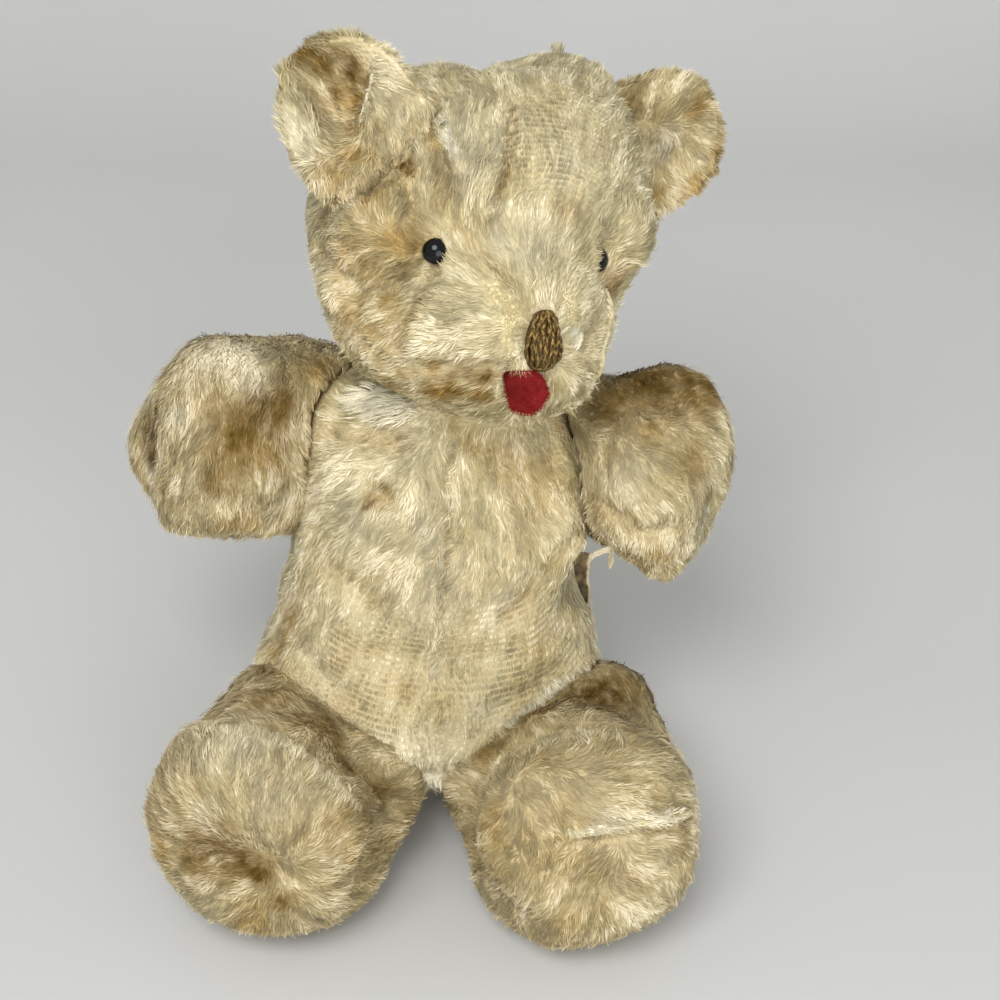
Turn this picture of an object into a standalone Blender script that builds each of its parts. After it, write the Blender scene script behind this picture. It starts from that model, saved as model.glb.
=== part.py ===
"""Threadbare teddy bear, seated: an unjointed plush toy made of stuffed, sewn sections.

The bear sits on z = 0 and faces -Y. Left and right are the bear's own, so its left side is at +X.
Each stuffed section is one solid, with its surface at mid pile. Where two sections are sewn
together, the softer one is cut to the shape of the other and keeps a seam gap to it.
Lengths are in metres and angles in degrees.
"""

import math

import bmesh
import bpy
import numpy as np
from mathutils import Matrix, Vector
from mathutils.bvhtree import BVHTree

# ---------------------------------------------------------------- driving dimensions
SEAM_GAP = 0.0003
PATCH_GAP = 0.0006
LEAN = 18.0

# How round each stuffed form is: powers of its end and of its ring, where 1 is an ellipse and a
# lower power is squarer. Then its mesh: rings along it and segments around it.
TORSO_FORM = (0.45, 0.62, 24, 36)
HEAD_FORM = (0.52, 0.85, 26, 40)
ARM_FORM = (0.52, 0.88, 17, 26)
LEG_FORM = (0.62, 0.88, 17, 26)

TORSO_LENGTH = 0.137
TORSO_BASE = Vector((-0.001, 0.004, -0.005))

HEAD_HEIGHT = 0.099
HEAD_CENTRE = Vector((0.0110, 0.054, 0.1618))
HEAD_TURN = 19.0
HEAD_TILT = 7.0

EAR_THICKNESS = 0.009
EAR_RIM_SHARE = 0.25
EAR_SUNK = 0.008
EAR_VALLEY_SHARE = 0.35
EAR_CORNER_POWER = 0.8
EAR_RIM_POINTS = 28
EAR_RINGS = 5

EYE_RADIUS = 0.0038
EYE_FLATNESS = 0.65
EYE_STEM_RADIUS = 0.0011
EYE_STEM_LENGTH = 0.007
EYE_BACK_STEP = 0.0002
EYE_PROFILE_ANGLES = (0, 24, 48, 70, 92, 116, 140)
EYE_SEGMENTS = 14

NOSE_WIDTH = 0.0105
NOSE_HEIGHT = 0.0172
NOSE_EDGE = 0.0005
NOSE_RELIEF = 0.0020
NOSE_TAPER = 0.22

TONGUE_WIDTH = 0.0120
TONGUE_LENGTH = 0.0125
TONGUE_THICKNESS = 0.0014
TONGUE_SIDE_POWER = 0.6
TONGUE_END_POWER = 0.7

FACE_RIM_POINTS = 20
FACE_RINGS = 4
IN_FRONT_OF_FACE = 0.2

LABEL_WIDTH = 0.0090
LABEL_THICKNESS = 0.0008
LABEL_ACROSS = Vector((-0.50, 0.87, 0.0))
LABEL_ROUTE = [Vector((0.0455, 0.012, 0.0610)), Vector((0.0462, 0.012, 0.0680)),
               Vector((0.0460, 0.012, 0.0745)), Vector((0.0475, 0.012, 0.0790)),
               Vector((0.0505, 0.012, 0.0805)), Vector((0.0535, 0.012, 0.0795))]

# Sections along a form: place from 0 to 1, half width, half depth, shift in x, shift in y.
TORSO_SECTIONS = [
    (0.00, 0.010, 0.030, 0.000, 0.000),
    (0.14, 0.034, 0.038, 0.000, 0.000),
    (0.34, 0.0520, 0.040, -0.002, 0.000),
    (0.52, 0.0455, 0.038, -0.0005, 0.000),
    (0.80, 0.0430, 0.035, 0.000, 0.000),
    (1.00, 0.0440, 0.030, 0.000, 0.000),
]
TORSO_PUSHES = [
    ((0.044, -0.012, 0.078), 0.0130, (-0.0035, 0.0000, 0.0000)),    # hollow at the label's seam
    ((0.034, 0.026, 0.016), 0.0170, (0.0100, 0.0050, -0.0060)),     # left of the rump
    ((-0.034, 0.026, 0.016), 0.0170, (-0.0100, 0.0050, -0.0060)),   # right of the rump
]
HEAD_SECTIONS = [
    (0.00, 0.026, 0.032, 0.000, 0.000),
    (0.20, 0.040, 0.041, -0.001, 0.000),
    (0.50, 0.0485, 0.045, -0.0005, 0.000),
    (0.80, 0.0475, 0.042, 0.000, 0.002),
    (1.00, 0.0440, 0.036, 0.001, 0.003),
]
# A push moves the surface near a centre: centre, reach, movement.
HEAD_PUSHES = [
    ((0.004, -0.040, -0.026), 0.0200, (0.000, -0.0190, -0.0070)),   # muzzle
    ((0.040, -0.020, -0.022), 0.0130, (-0.004, 0.0000, 0.0000)),    # left side of the jaw
    ((-0.036, -0.022, -0.030), 0.0150, (-0.007, -0.0030, -0.0030)),  # right cheek
    ((-0.0270, -0.043, 0.001), 0.0080, (0.000, 0.0030, 0.0000)),    # right eye hollow
    ((0.0208, -0.043, 0.000), 0.0080, (0.000, 0.0040, 0.0000)),     # left eye hollow
    ((0.000, -0.045, 0.028), 0.0180, (0.000, -0.0030, 0.0000)),     # forehead
    ((-0.044, -0.020, 0.036), 0.0150, (0.0080, 0.0080, -0.0060)),   # under the right ear
]
EYE_SEATS = {"right": Vector((-0.0268, 0.0, 0.0005)), "left": Vector((0.0208, 0.0, 0.0003))}
NOSE_SEAT = Vector((0.0005, 0.0, -0.0184))
TONGUE_SEAT = Vector((-0.0022, 0.0, -0.0335))

# Limbs: the sections along each kind, then the root and the end of each one's axis.
ARM_SECTIONS = [
    (0.00, 0.020, 0.024, 0.000, 0.000),
    (0.35, 0.024, 0.028, 0.000, 0.000),
    (0.75, 0.029, 0.031, 0.000, 0.000),
    (1.00, 0.028, 0.029, 0.000, 0.000),
]
LEG_SECTIONS = [
    (0.00, 0.027, 0.023, 0.000, 0.000),
    (0.28, 0.030, 0.0235, 0.000, 0.000),
    (0.44, 0.031, 0.0255, 0.000, 0.000),
    (0.62, 0.0365, 0.0340, 0.000, 0.001),
    (0.82, 0.0390, 0.0375, 0.000, 0.002),
    (1.00, 0.0370, 0.0350, 0.000, 0.004),
]
LIMBS = {
    "arm_right": (Vector((-0.022, 0.054, 0.103)), Vector((-0.084, 0.016, 0.111))),
    "arm_left": (Vector((0.022, 0.054, 0.100)), Vector((0.078, 0.008, 0.096))),
    "leg_right": (Vector((-0.030, 0.012, 0.022)), Vector((-0.051, -0.079, 0.035))),
    "leg_left": (Vector((0.029, 0.012, 0.022)), Vector((0.041, -0.083, 0.035))),
}
# The same kind of push for the limbs, in the bear's own frame.
LIMB_PUSHES = {
    "arm_right": [],
    "arm_left": [((0.044, 0.018, 0.070), 0.0120, (0.000, 0.000, 0.0080))],
    "leg_right": [((-0.018, -0.042, 0.060), 0.0150, (-0.004, 0.004, -0.0140)),
                  ((-0.054, -0.006, 0.042), 0.0150, (-0.004, 0.000, 0.0080))],
    "leg_left": [((0.010, -0.042, 0.060), 0.0150, (0.004, 0.004, -0.0140)),
                 ((0.052, -0.006, 0.042), 0.0150, (0.004, 0.000, 0.0080))],
}

# name: (chord centre on the head, chord direction, outward direction, half chord, reach,
#        cup depth, valley depth, valley place)
EARS = {
    "ear_right": (Vector((-0.0395, -0.022, 0.0235)), Vector((0.725, 0.0, 0.690)),
                  Vector((-0.69, 0.35, 0.725)), 0.0212, 0.0320, 0.004, 0.007, -0.1),
    "ear_left": (Vector((0.046, 0.006, 0.028)), Vector((0.477, 0.0, -0.879)),
                 Vector((0.879, 0.0, 0.477)), 0.023, 0.031, 0.006, 0.000, 0.0),
}

PLUSH = (0.62, 0.53, 0.36)
PLUSH_TAN = (0.55, 0.43, 0.25)
EYE_BLACK = (0.010, 0.009, 0.008)
NOSE_BROWN = (0.20, 0.12, 0.05)
FELT_RED = (0.42, 0.025, 0.035)
LABEL_WHITE = (0.78, 0.74, 0.62)


# ---------------------------------------------------------------- helpers
def clear_scene():
    """Remove every object that the file already holds."""
    for item in list(bpy.data.objects):
        bpy.data.objects.remove(item, do_unlink=True)


def make_material(name, colour, roughness, metallic=0.0):
    material = bpy.data.materials.new(name)
    material.use_nodes = True
    shader = material.node_tree.nodes["Principled BSDF"]
    shader.inputs["Base Color"].default_value = (*colour, 1.0)
    shader.inputs["Roughness"].default_value = roughness
    shader.inputs["Metallic"].default_value = metallic
    return material


def make_object(name, points, faces, material, matrix):
    """One mesh object from points in its own frame, shaded smooth, with faces pointing out.

    Its faces are triangles, so that a copy swollen by the seam gap bends along the same lines.
    """
    mesh = bpy.data.meshes.new(name)
    mesh.from_pydata([tuple(point) for point in points], [], faces)
    build = bmesh.new()
    build.from_mesh(mesh)
    bmesh.ops.triangulate(build, faces=build.faces)
    bmesh.ops.recalc_face_normals(build, faces=build.faces)
    build.to_mesh(mesh)
    build.free()
    mesh.shade_smooth()
    mesh.materials.append(material)
    piece = bpy.data.objects.new(name, mesh)
    piece.matrix_world = matrix
    bpy.context.scene.collection.objects.link(piece)
    return piece


def signed_power(values, power):
    """Power that keeps the sign: below 1 it squares a circle's sines and cosines."""
    return np.sign(values) * np.abs(values) ** power


def smooth_sections(sections, places):
    """Section values at each place, on a curve without corners through the given sections."""
    table = np.array(sections)
    knots = table[:, 0]
    slopes = np.gradient(table[:, 1:], knots, axis=0)
    result = np.empty((len(places), table.shape[1] - 1))
    for row, place in enumerate(places):
        index = int(np.clip(np.searchsorted(knots, place) - 1, 0, len(knots) - 2))
        span = knots[index + 1] - knots[index]
        t = (place - knots[index]) / span
        result[row] = (
            (2 * t ** 3 - 3 * t ** 2 + 1) * table[index, 1:]
            + (t ** 3 - 2 * t ** 2 + t) * span * slopes[index]
            + (3 * t ** 2 - 2 * t ** 3) * table[index + 1, 1:]
            + (t ** 3 - t ** 2) * span * slopes[index + 1]
        )
    return result


def stuffed_form(length, sections, end_power, ring_power, rings, segments):
    """Points and faces of a stuffed tube along +Z with full rounded ends.

    A low power gives square shoulders and a power of 1 gives an ellipse.
    """
    latitudes = np.linspace(-math.pi / 2, math.pi / 2, rings + 1)[1:-1]
    heights = signed_power(np.sin(latitudes), end_power)
    shrink = np.cos(latitudes) ** end_power
    places = 0.5 + 0.5 * heights
    values = smooth_sections(sections, places)
    angles = np.linspace(0, 2 * math.pi, segments, endpoint=False)
    across = signed_power(np.cos(angles), ring_power)
    deep = signed_power(np.sin(angles), ring_power)
    points = []
    for place, scale, (width, depth, shift_x, shift_y) in zip(places, shrink, values):
        for a, b in zip(across, deep):
            points.append((shift_x + width * scale * a, shift_y + depth * scale * b, place * length))
    first, last = smooth_sections(sections, [0.0, 1.0])
    bottom = len(points)
    points.append((first[2], first[3], 0.0))
    top = len(points)
    points.append((last[2], last[3], length))
    faces = []
    ring_count = len(places)
    for ring in range(ring_count - 1):
        for segment in range(segments):
            following = (segment + 1) % segments
            low = ring * segments
            high = low + segments
            faces.append((low + segment, low + following, high + following, high + segment))
    for segment in range(segments):
        following = (segment + 1) % segments
        high = (ring_count - 1) * segments
        faces.append((bottom, following, segment))
        faces.append((top, high + segment, high + following))
    return np.array(points), faces


def apply_pushes(points, pushes):
    """Move the points near each push centre, falling off smoothly with distance."""
    moved = points.copy()
    for centre, reach, movement in pushes:
        distance = np.linalg.norm(points - np.array(centre), axis=1)
        moved += np.exp(-0.5 * (distance / reach) ** 2)[:, None] * np.array(movement)
    return moved


def aim(origin, target):
    """Matrix with +Z from origin to target and +Y as near to up as it can be."""
    along = (target - origin).normalized()
    side = Vector((0, 0, 1)).cross(along).normalized()
    up = along.cross(side)
    return Matrix.Translation(origin) @ Matrix((side, up, along)).transposed().to_4x4()


def cut_flat_at_floor(piece):
    """Cut away what lies below z = 0 and close the cut with one flat face."""
    inverse = piece.matrix_world.inverted()
    normal = (inverse.to_3x3() @ Vector((0, 0, 1))).normalized()
    build = bmesh.new()
    build.from_mesh(piece.data)
    everything = build.verts[:] + build.edges[:] + build.faces[:]
    cut = bmesh.ops.bisect_plane(
        build, geom=everything, dist=1e-6, plane_co=inverse @ Vector((0, 0, 0)), plane_no=normal,
        clear_inner=True,
    )
    rim = [item for item in cut["geom_cut"] if isinstance(item, bmesh.types.BMEdge)]
    bmesh.ops.edgeloop_fill(build, edges=rim)
    bmesh.ops.triangulate(build, faces=build.faces)
    bmesh.ops.recalc_face_normals(build, faces=build.faces)
    build.to_mesh(piece.data)
    build.free()


def clearance_cutter(piece):
    """A guide object: the piece swollen by the seam gap, hidden from renders and drawn as wire."""
    mesh = piece.data.copy()
    mesh.name = piece.name + "_clearance"
    normals = [vertex.normal.copy() for vertex in mesh.vertices]
    for vertex, normal in zip(mesh.vertices, normals):
        vertex.co += normal * SEAM_GAP
    cutter = bpy.data.objects.new(mesh.name, mesh)
    cutter.matrix_world = piece.matrix_world
    cutter.hide_render = True
    cutter.display_type = "WIRE"
    bpy.context.scene.collection.objects.link(cutter)
    return cutter


def seat_against(piece, cutter):
    """Cut the piece to fit against its neighbour."""
    modifier = piece.modifiers.new("seat_" + cutter.name, "BOOLEAN")
    modifier.operation = "DIFFERENCE"
    modifier.solver = "EXACT"
    modifier.object = cutter


def surface_tree(piece):
    """Search tree of a piece's mesh in its own frame."""
    return BVHTree.FromPolygons(
        [vertex.co.copy() for vertex in piece.data.vertices],
        [tuple(polygon.vertices) for polygon in piece.data.polygons],
    )


def squared_circle(count, power_x, power_y):
    """Outline points of a circle of radius 1, squared by powers below 1."""
    angles = np.linspace(0, 2 * math.pi, count, endpoint=False)
    return np.stack((signed_power(np.cos(angles), power_x), signed_power(np.sin(angles), power_y)), 1)


def disc_solid(rim, rings, front, back):
    """Closed solid over a flat outline: front and back give the two surfaces.

    Each takes a flat point and its place from 0 at the centre to 1 at the rim.
    """
    centre = rim.mean(axis=0)
    count = len(rim)
    points = []
    for surface in (front, back):
        points.append(surface(centre, 0.0))
        for ring in range(1, rings + 1):
            place = ring / rings
            for corner in rim:
                points.append(surface(centre + (corner - centre) * place, place))
    faces = []
    side_start = 1 + rings * count
    for side in (0, 1):
        start = side * side_start
        for index in range(count):
            following = (index + 1) % count
            faces.append((start, start + 1 + index, start + 1 + following))
            for ring in range(rings - 1):
                inner = start + 1 + ring * count
                outer = inner + count
                faces.append((inner + index, outer + index, outer + following, inner + following))
    edge = 1 + (rings - 1) * count
    for index in range(count):
        following = (index + 1) % count
        faces.append((edge + index, side_start + edge + index, side_start + edge + following,
                      edge + following))
    return points, faces


# ---------------------------------------------------------------- stuffed sections
def torso_matrix():
    return Matrix.Translation(TORSO_BASE) @ Matrix.Rotation(math.radians(-LEAN), 4, "X")


def make_torso(material):
    points, faces = stuffed_form(TORSO_LENGTH, TORSO_SECTIONS, *TORSO_FORM)
    points = apply_pushes(points, TORSO_PUSHES)
    torso = make_object("torso", points, faces, material, torso_matrix())
    cut_flat_at_floor(torso)
    return torso


def head_matrix():
    lean = Matrix.Rotation(math.radians(-LEAN), 4, "X")
    turn = Matrix.Rotation(math.radians(HEAD_TURN), 4, "Z")
    tilt = Matrix.Rotation(math.radians(HEAD_TILT), 4, "Y")
    return Matrix.Translation(HEAD_CENTRE) @ lean @ turn @ tilt


def make_head(material):
    points, faces = stuffed_form(HEAD_HEIGHT, HEAD_SECTIONS, *HEAD_FORM)
    points = points - np.array((0, 0, HEAD_HEIGHT / 2))
    points = apply_pushes(points, HEAD_PUSHES)
    return make_object("head", points, faces, material, head_matrix())


def make_limb(name, material):
    root, end = LIMBS[name]
    is_leg = name.startswith("leg")
    sections = LEG_SECTIONS if is_leg else ARM_SECTIONS
    form = LEG_FORM if is_leg else ARM_FORM
    points, faces = stuffed_form((end - root).length, sections, *form)
    matrix = aim(root, end)
    to_world = np.array(matrix)
    placed = points @ to_world[:3, :3].T + to_world[:3, 3]
    placed = apply_pushes(placed, LIMB_PUSHES[name])
    points = (placed - to_world[:3, 3]) @ to_world[:3, :3]
    limb = make_object(name, points, faces, material, matrix)
    if is_leg:
        cut_flat_at_floor(limb)
    return limb


def make_ear(name, material):
    """A cupped pad: an arched outline from the chord on the head to its rounded tip."""
    centre, chord, outward, half_chord, reach, cup, valley, valley_place = EARS[name]
    chord = chord.normalized()
    outward = (outward - chord * outward.dot(chord)).normalized()
    facing = Vector(chord.cross(outward))
    facing = facing if facing.y < 0 else -facing
    rim = squared_circle(EAR_RIM_POINTS, EAR_CORNER_POWER, EAR_CORNER_POWER) * half_chord
    rim[:, 1] *= np.where(rim[:, 1] > 0, reach, EAR_SUNK) / half_chord

    def place_point(flat, offset, place):
        bend = cup * place ** 2
        fold = -valley * math.exp(-((flat[0] / half_chord - valley_place) / EAR_VALLEY_SHARE) ** 2)
        outer = max(flat[1], 0.0) / reach
        position = centre + chord * flat[0] + outward * flat[1]
        return position + facing * (offset + bend + fold * outer)

    def half_thickness(place):
        return 0.5 * EAR_THICKNESS * (EAR_RIM_SHARE + (1.0 - EAR_RIM_SHARE) * math.sqrt(1.0 - place ** 2))

    points, faces = disc_solid(
        rim, EAR_RINGS,
        lambda flat, place: place_point(flat, half_thickness(place), place),
        lambda flat, place: place_point(flat, -half_thickness(place), place),
    )
    return make_object(name, points, faces, material, head_matrix())


# ---------------------------------------------------------------- face
def head_surface(tree, x, z):
    """Point and outward normal where a line along +Y through x, z meets the head's front."""
    point, normal, _, _ = tree.ray_cast(Vector((x, -IN_FRONT_OF_FACE, z)), Vector((0, 1, 0)))
    return point, normal


def make_eye(side, tree, material):
    """A domed button eye on a stem, pressed into the head along the surface normal."""
    seat = EYE_SEATS[side]
    point, normal = head_surface(tree, seat.x, seat.z)
    dome = [(EYE_RADIUS * math.sin(angle), EYE_RADIUS * EYE_FLATNESS * math.cos(angle))
            for angle in np.radians(EYE_PROFILE_ANGLES)]
    back = dome[-1][1] - EYE_BACK_STEP
    profile = dome + [(EYE_STEM_RADIUS, back), (EYE_STEM_RADIUS, back - EYE_STEM_LENGTH),
                      (0.0, back - EYE_STEM_LENGTH)]
    segments = EYE_SEGMENTS
    points = [(0.0, 0.0, profile[0][1])]
    for radius, height in profile[1:-1]:
        for angle in np.linspace(0, 2 * math.pi, segments, endpoint=False):
            points.append((radius * math.cos(angle), radius * math.sin(angle), height))
    points.append((0.0, 0.0, profile[-1][1]))
    faces = []
    rings = len(profile) - 2
    for segment in range(segments):
        following = (segment + 1) % segments
        faces.append((0, 1 + segment, 1 + following))
        for ring in range(rings - 1):
            low = 1 + ring * segments
            faces.append((low + segment, low + segments + segment, low + segments + following,
                          low + following))
        last = 1 + (rings - 1) * segments
        faces.append((last + segment, len(points) - 1, last + following))
    local = Matrix.Translation(point) @ normal.to_track_quat("Z", "Y").to_matrix().to_4x4()
    return make_object("eye_" + side, points, faces, material, head_matrix() @ local)


def lifted(tree, flat, lift):
    """Point at a height above the head's front surface."""
    point, normal = head_surface(tree, flat[0], flat[1])
    return point + normal * lift


def make_nose(tree, material):
    """Upright satin stitches: an egg-shaped pad, fullest below its middle."""
    rim = squared_circle(FACE_RIM_POINTS, 1.0, 1.0)
    rim[:, 0] *= 0.5 * NOSE_WIDTH * (1.0 - NOSE_TAPER * rim[:, 1])
    rim[:, 1] *= 0.5 * NOSE_HEIGHT
    rim += (NOSE_SEAT.x, NOSE_SEAT.z)
    low = PATCH_GAP + NOSE_EDGE
    points, faces = disc_solid(
        rim, FACE_RINGS,
        lambda flat, place: lifted(tree, flat, low + NOSE_RELIEF * math.sqrt(1.0 - place ** 2)),
        lambda flat, place: lifted(tree, flat, PATCH_GAP),
    )
    return make_object("nose_stitching", points, faces, material, head_matrix())


def make_tongue(tree, material):
    """A felt tab with a rounded free end that hangs against the chin."""
    rim = squared_circle(FACE_RIM_POINTS, TONGUE_SIDE_POWER, TONGUE_END_POWER)
    rim *= (0.5 * TONGUE_WIDTH, 0.5 * TONGUE_LENGTH)
    rim += (TONGUE_SEAT.x, TONGUE_SEAT.z)
    points, faces = disc_solid(
        rim, FACE_RINGS,
        lambda flat, place: lifted(tree, flat, PATCH_GAP + TONGUE_THICKNESS),
        lambda flat, place: lifted(tree, flat, PATCH_GAP),
    )
    return make_object("tongue", points, faces, material, head_matrix())


# ---------------------------------------------------------------- label
def make_label(material):
    """A woven strip standing out of the side seam, its upper end bent out under the arm."""
    across = LABEL_ACROSS.normalized() * LABEL_WIDTH
    route = [LABEL_ROUTE[0]]
    for start, end in zip(LABEL_ROUTE, LABEL_ROUTE[1:]):
        route += [start.lerp(end, 0.5), end]
    points = []
    for index, point in enumerate(route):
        along = route[min(index + 1, len(route) - 1)] - route[max(index - 1, 0)]
        thick = along.cross(across).normalized() * (0.5 * LABEL_THICKNESS)
        points += [point - thick, point + thick, point + across + thick, point + across - thick]
    faces = [(0, 1, 2, 3)]
    for start in range(0, len(points) - 4, 4):
        for corner in range(4):
            following = (corner + 1) % 4
            faces.append((start + corner, start + following, start + 4 + following, start + 4 + corner))
    faces.append(tuple(range(len(points) - 4, len(points))))
    return make_object("label", points, faces, material, Matrix.Identity(4))


# ---------------------------------------------------------------- assembly
def main():
    clear_scene()
    plush = make_material("plush", PLUSH, 0.85)
    plush_tan = make_material("plush_tan", PLUSH_TAN, 0.85)
    torso = make_torso(plush)
    head = make_head(plush)
    torso_cutter = clearance_cutter(torso)
    head_cutter = clearance_cutter(head)
    tree = surface_tree(head)
    seat_against(head, torso_cutter)
    label = make_label(make_material("label_cloth", LABEL_WHITE, 0.8))
    seat_against(label, torso_cutter)
    for name in LIMBS:
        limb = make_limb(name, plush_tan)
        if name == "arm_left":
            seat_against(label, clearance_cutter(limb))
        seat_against(limb, torso_cutter)
        if name.startswith("arm"):
            seat_against(limb, head_cutter)
    for name in EARS:
        ear = make_ear(name, plush_tan)
        seat_against(ear, head_cutter)
    eye_material = make_material("eye_plastic", EYE_BLACK, 0.08)
    for side in EYE_SEATS:
        eye = make_eye(side, tree, eye_material)
        seat_against(head, clearance_cutter(eye))
    make_nose(tree, make_material("nose_thread", NOSE_BROWN, 0.55))
    make_tongue(tree, make_material("tongue_felt", FELT_RED, 0.95))


main()
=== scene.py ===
"""Looks of a seated, threadbare teddy bear: worn plush over stuffing, in the frame of its CAD part.

Every stuffed section is a padded skin made from its CAD solid, with pile standing on it. Lengths are
in metres, apart from the tables of places and where a comment says millimetres. The bear faces -Y,
its left side is at +X, and it sits on z = 0.
"""
import math

import bmesh
import bpy
import numpy as np
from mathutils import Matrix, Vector
from mathutils.bvhtree import BVHTree
from mathutils.kdtree import KDTree


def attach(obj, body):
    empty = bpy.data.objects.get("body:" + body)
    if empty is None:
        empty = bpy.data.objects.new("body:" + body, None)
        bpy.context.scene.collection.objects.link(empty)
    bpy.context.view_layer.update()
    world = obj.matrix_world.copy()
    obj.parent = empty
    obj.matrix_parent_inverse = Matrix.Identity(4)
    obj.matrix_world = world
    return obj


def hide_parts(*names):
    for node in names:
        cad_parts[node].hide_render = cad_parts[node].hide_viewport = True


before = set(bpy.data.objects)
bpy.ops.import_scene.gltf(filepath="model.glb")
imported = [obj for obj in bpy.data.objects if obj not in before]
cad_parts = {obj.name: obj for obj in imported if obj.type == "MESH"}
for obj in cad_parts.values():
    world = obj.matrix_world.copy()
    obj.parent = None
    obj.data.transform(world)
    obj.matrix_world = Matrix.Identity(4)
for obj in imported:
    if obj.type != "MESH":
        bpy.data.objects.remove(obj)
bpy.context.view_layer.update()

# ---------------------------------------------------------------- sizes
MM = 0.001
PILE_DEPTH = 0.0015          # how far a skin lies inside its CAD solid, which ends at mid pile
SWELL = 0.0008               # what the stuffing then pushes it out again
CONTACT_INSET = 0.0004
CONTACT_NEAR = 0.0012
CONTACT_FAR = 0.0050
CONTACT_TOUCHING = 0.0006    # nearer than this counts as contact, whichever way the surface faces
CONTACT_FACING = 0.35        # how squarely the surface has to face its neighbour otherwise
PRESSED_MOST = 2.2           # the furthest that the cloth may move off the folded skin, in millimetres
FLOOR_CLEAR = 0.0003
LUMPS = ((0.019, 3, 0.0011), (0.009, 4, 0.0006))     # lumps of the stuffing: size, seed, height
EYE_DENT = 0.0016
EYE_DENT_REACH = 4.0         # in millimetres

STUFFED = ("torso", "head", "leg_right", "leg_left", "arm_right", "arm_left", "ear_right", "ear_left")
VOXEL = {"head": 0.0036, "torso": 0.0046, "ear_right": 0.0026, "ear_left": 0.0028}
LIMB_VOXEL = 0.0042
# Pile of each section: strands, length and width in millimetres, lift in degrees, gathering into tufts.
PILE = {
    "torso": (84000, 4.0, 0.26, 12, 0.18),
    "head": (88000, 4.3, 0.25, 15, 0.24),
    "leg_right": (60000, 4.3, 0.26, 17, 0.26),
    "leg_left": (57000, 4.1, 0.26, 14, 0.22),
    "arm_right": (45000, 4.6, 0.26, 15, 0.26),
    "arm_left": (38000, 3.8, 0.27, 12, 0.18),
    "ear_right": (21000, 4.6, 0.26, 16, 0.25),
    "ear_left": (17000, 4.4, 0.26, 16, 0.22),
}
TUFT = 22                    # strands in a tuft of the pile
LOCK_TUFT = 16               # and of a lock
LOCK_GATHER = 0.5
# How much the strands vary: turns in radians and lifts in degrees, for a whole tuft and for a strand.
TUFT_TURN, STRAND_TURN, BALD_TURN = 0.24, 0.09, 1.2
TUFT_LIFT, STRAND_LIFT, STREAK_LIFT = 3, 2.5, 2.5
LEAST_LIFT, MOST_LIFT = 4, 80
BEND = 0.45                  # where along its length a strand bends
TIP_EASE = 0.25              # how much of its lift is left beyond the bend
TUFT_HALF = 0.0016           # half of a tuft's width, for its shading
TUFT_ROUNDNESS = 0.26        # how round a tuft looks, by its shading
COMB_REACH = 0.006           # how near to a place in COMB its pull stops growing
STRAY_SHARE = 0.05           # strands that stand clear of the rest
STRAY_LIFT = 30              # degrees
FRONT_AND_ABOVE = np.array((-0.1, -0.5, 0.86))
PILE_LIT, STRAY_LIT, LOCK_LIT = 0.15, 0.65, 0.8     # how far their shading turns that way
BLADE_TURN = 0.10            # how far the two edges of a strand turn apart in shading
ORDER_CELL = 0.0006          # strands are put in order by the cell that they stand in
SAT_ON = 0.0015              # nearer to the floor than this, the bear sits on its pile
SAT_ON_PILE = 0.15           # the share of the pile that is left there
THINNER_BEHIND = 0.3         # the share of strands that the back goes without
GRIME_AND_SHADE = (0.60, 0.36)         # tan and soil at the bottom of a crease and along seams: dirt and painted shade
BLOT_SHARE = 0.8             # the share of a blot's reach at which it is still strong
STIR_SHARE, MOST_STIR = 0.45, 0.0035                 # how ragged the edge of a blot is
# Tan and soil that are all over a section, and how dirty and shaded its seams are where it isn't 1. On the
# legs the general amounts also paint their darker shade.
GENERAL_STAIN_AND_SHADE = {"torso": (0.0, 0.0), "head": (0.02, 0.02), "leg_right": (0.26, 0.14),
                 "leg_left": (0.26, 0.15), "arm_right": (0.20, 0.10), "arm_left": (0.16, 0.08),
                 "ear_right": (0.08, 0.05), "ear_left": (0.20, 0.06)}
SEAM_GRIME_AND_SHADE = {"torso": 0.15, "head": 0.3, "ear_right": 0.15, "ear_left": 0.4}
EYE_RADIUS = 0.0037
EYE_HEIGHT = 0.0029
EYE_DOME = 84                # degrees of its dome, from the middle to the rim
EYE_RINGS = 13
EYE_SIDES = 32
NOSE_OUT = (0.23, -0.80, 0.55)
NOSE_UP = (0.06, 0.55, 0.83)
NOSE_COLUMNS = 10
NOSE_PITCH = 0.0056
NOSE_STEPS = 46
THREAD_RADIUS = 0.00038
THREAD_SIDES = 7
PLY_OFFSET = 0.00029         # from a thread's middle to the middle of each of its two plies
NOSE_PAD_TONE = -0.6         # darker than any thread; it shows only in the gaps between the threads, as their painted shadow
SEAM_RADIUS = 0.00068
TONGUE_THICK = 0.0011
TONGUE_OUT = (0.0, -1.0, 0.03)
TONGUE_CURL = 0.0007         # how far its end stands out
TONGUE_FIBRES = 3600
TONGUE_EDGE_FIBRES = TONGUE_FIBRES // 4
FIBRE_HALF = 0.00005         # half of a fibre's width
LABEL_THICK = 0.0003
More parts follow.
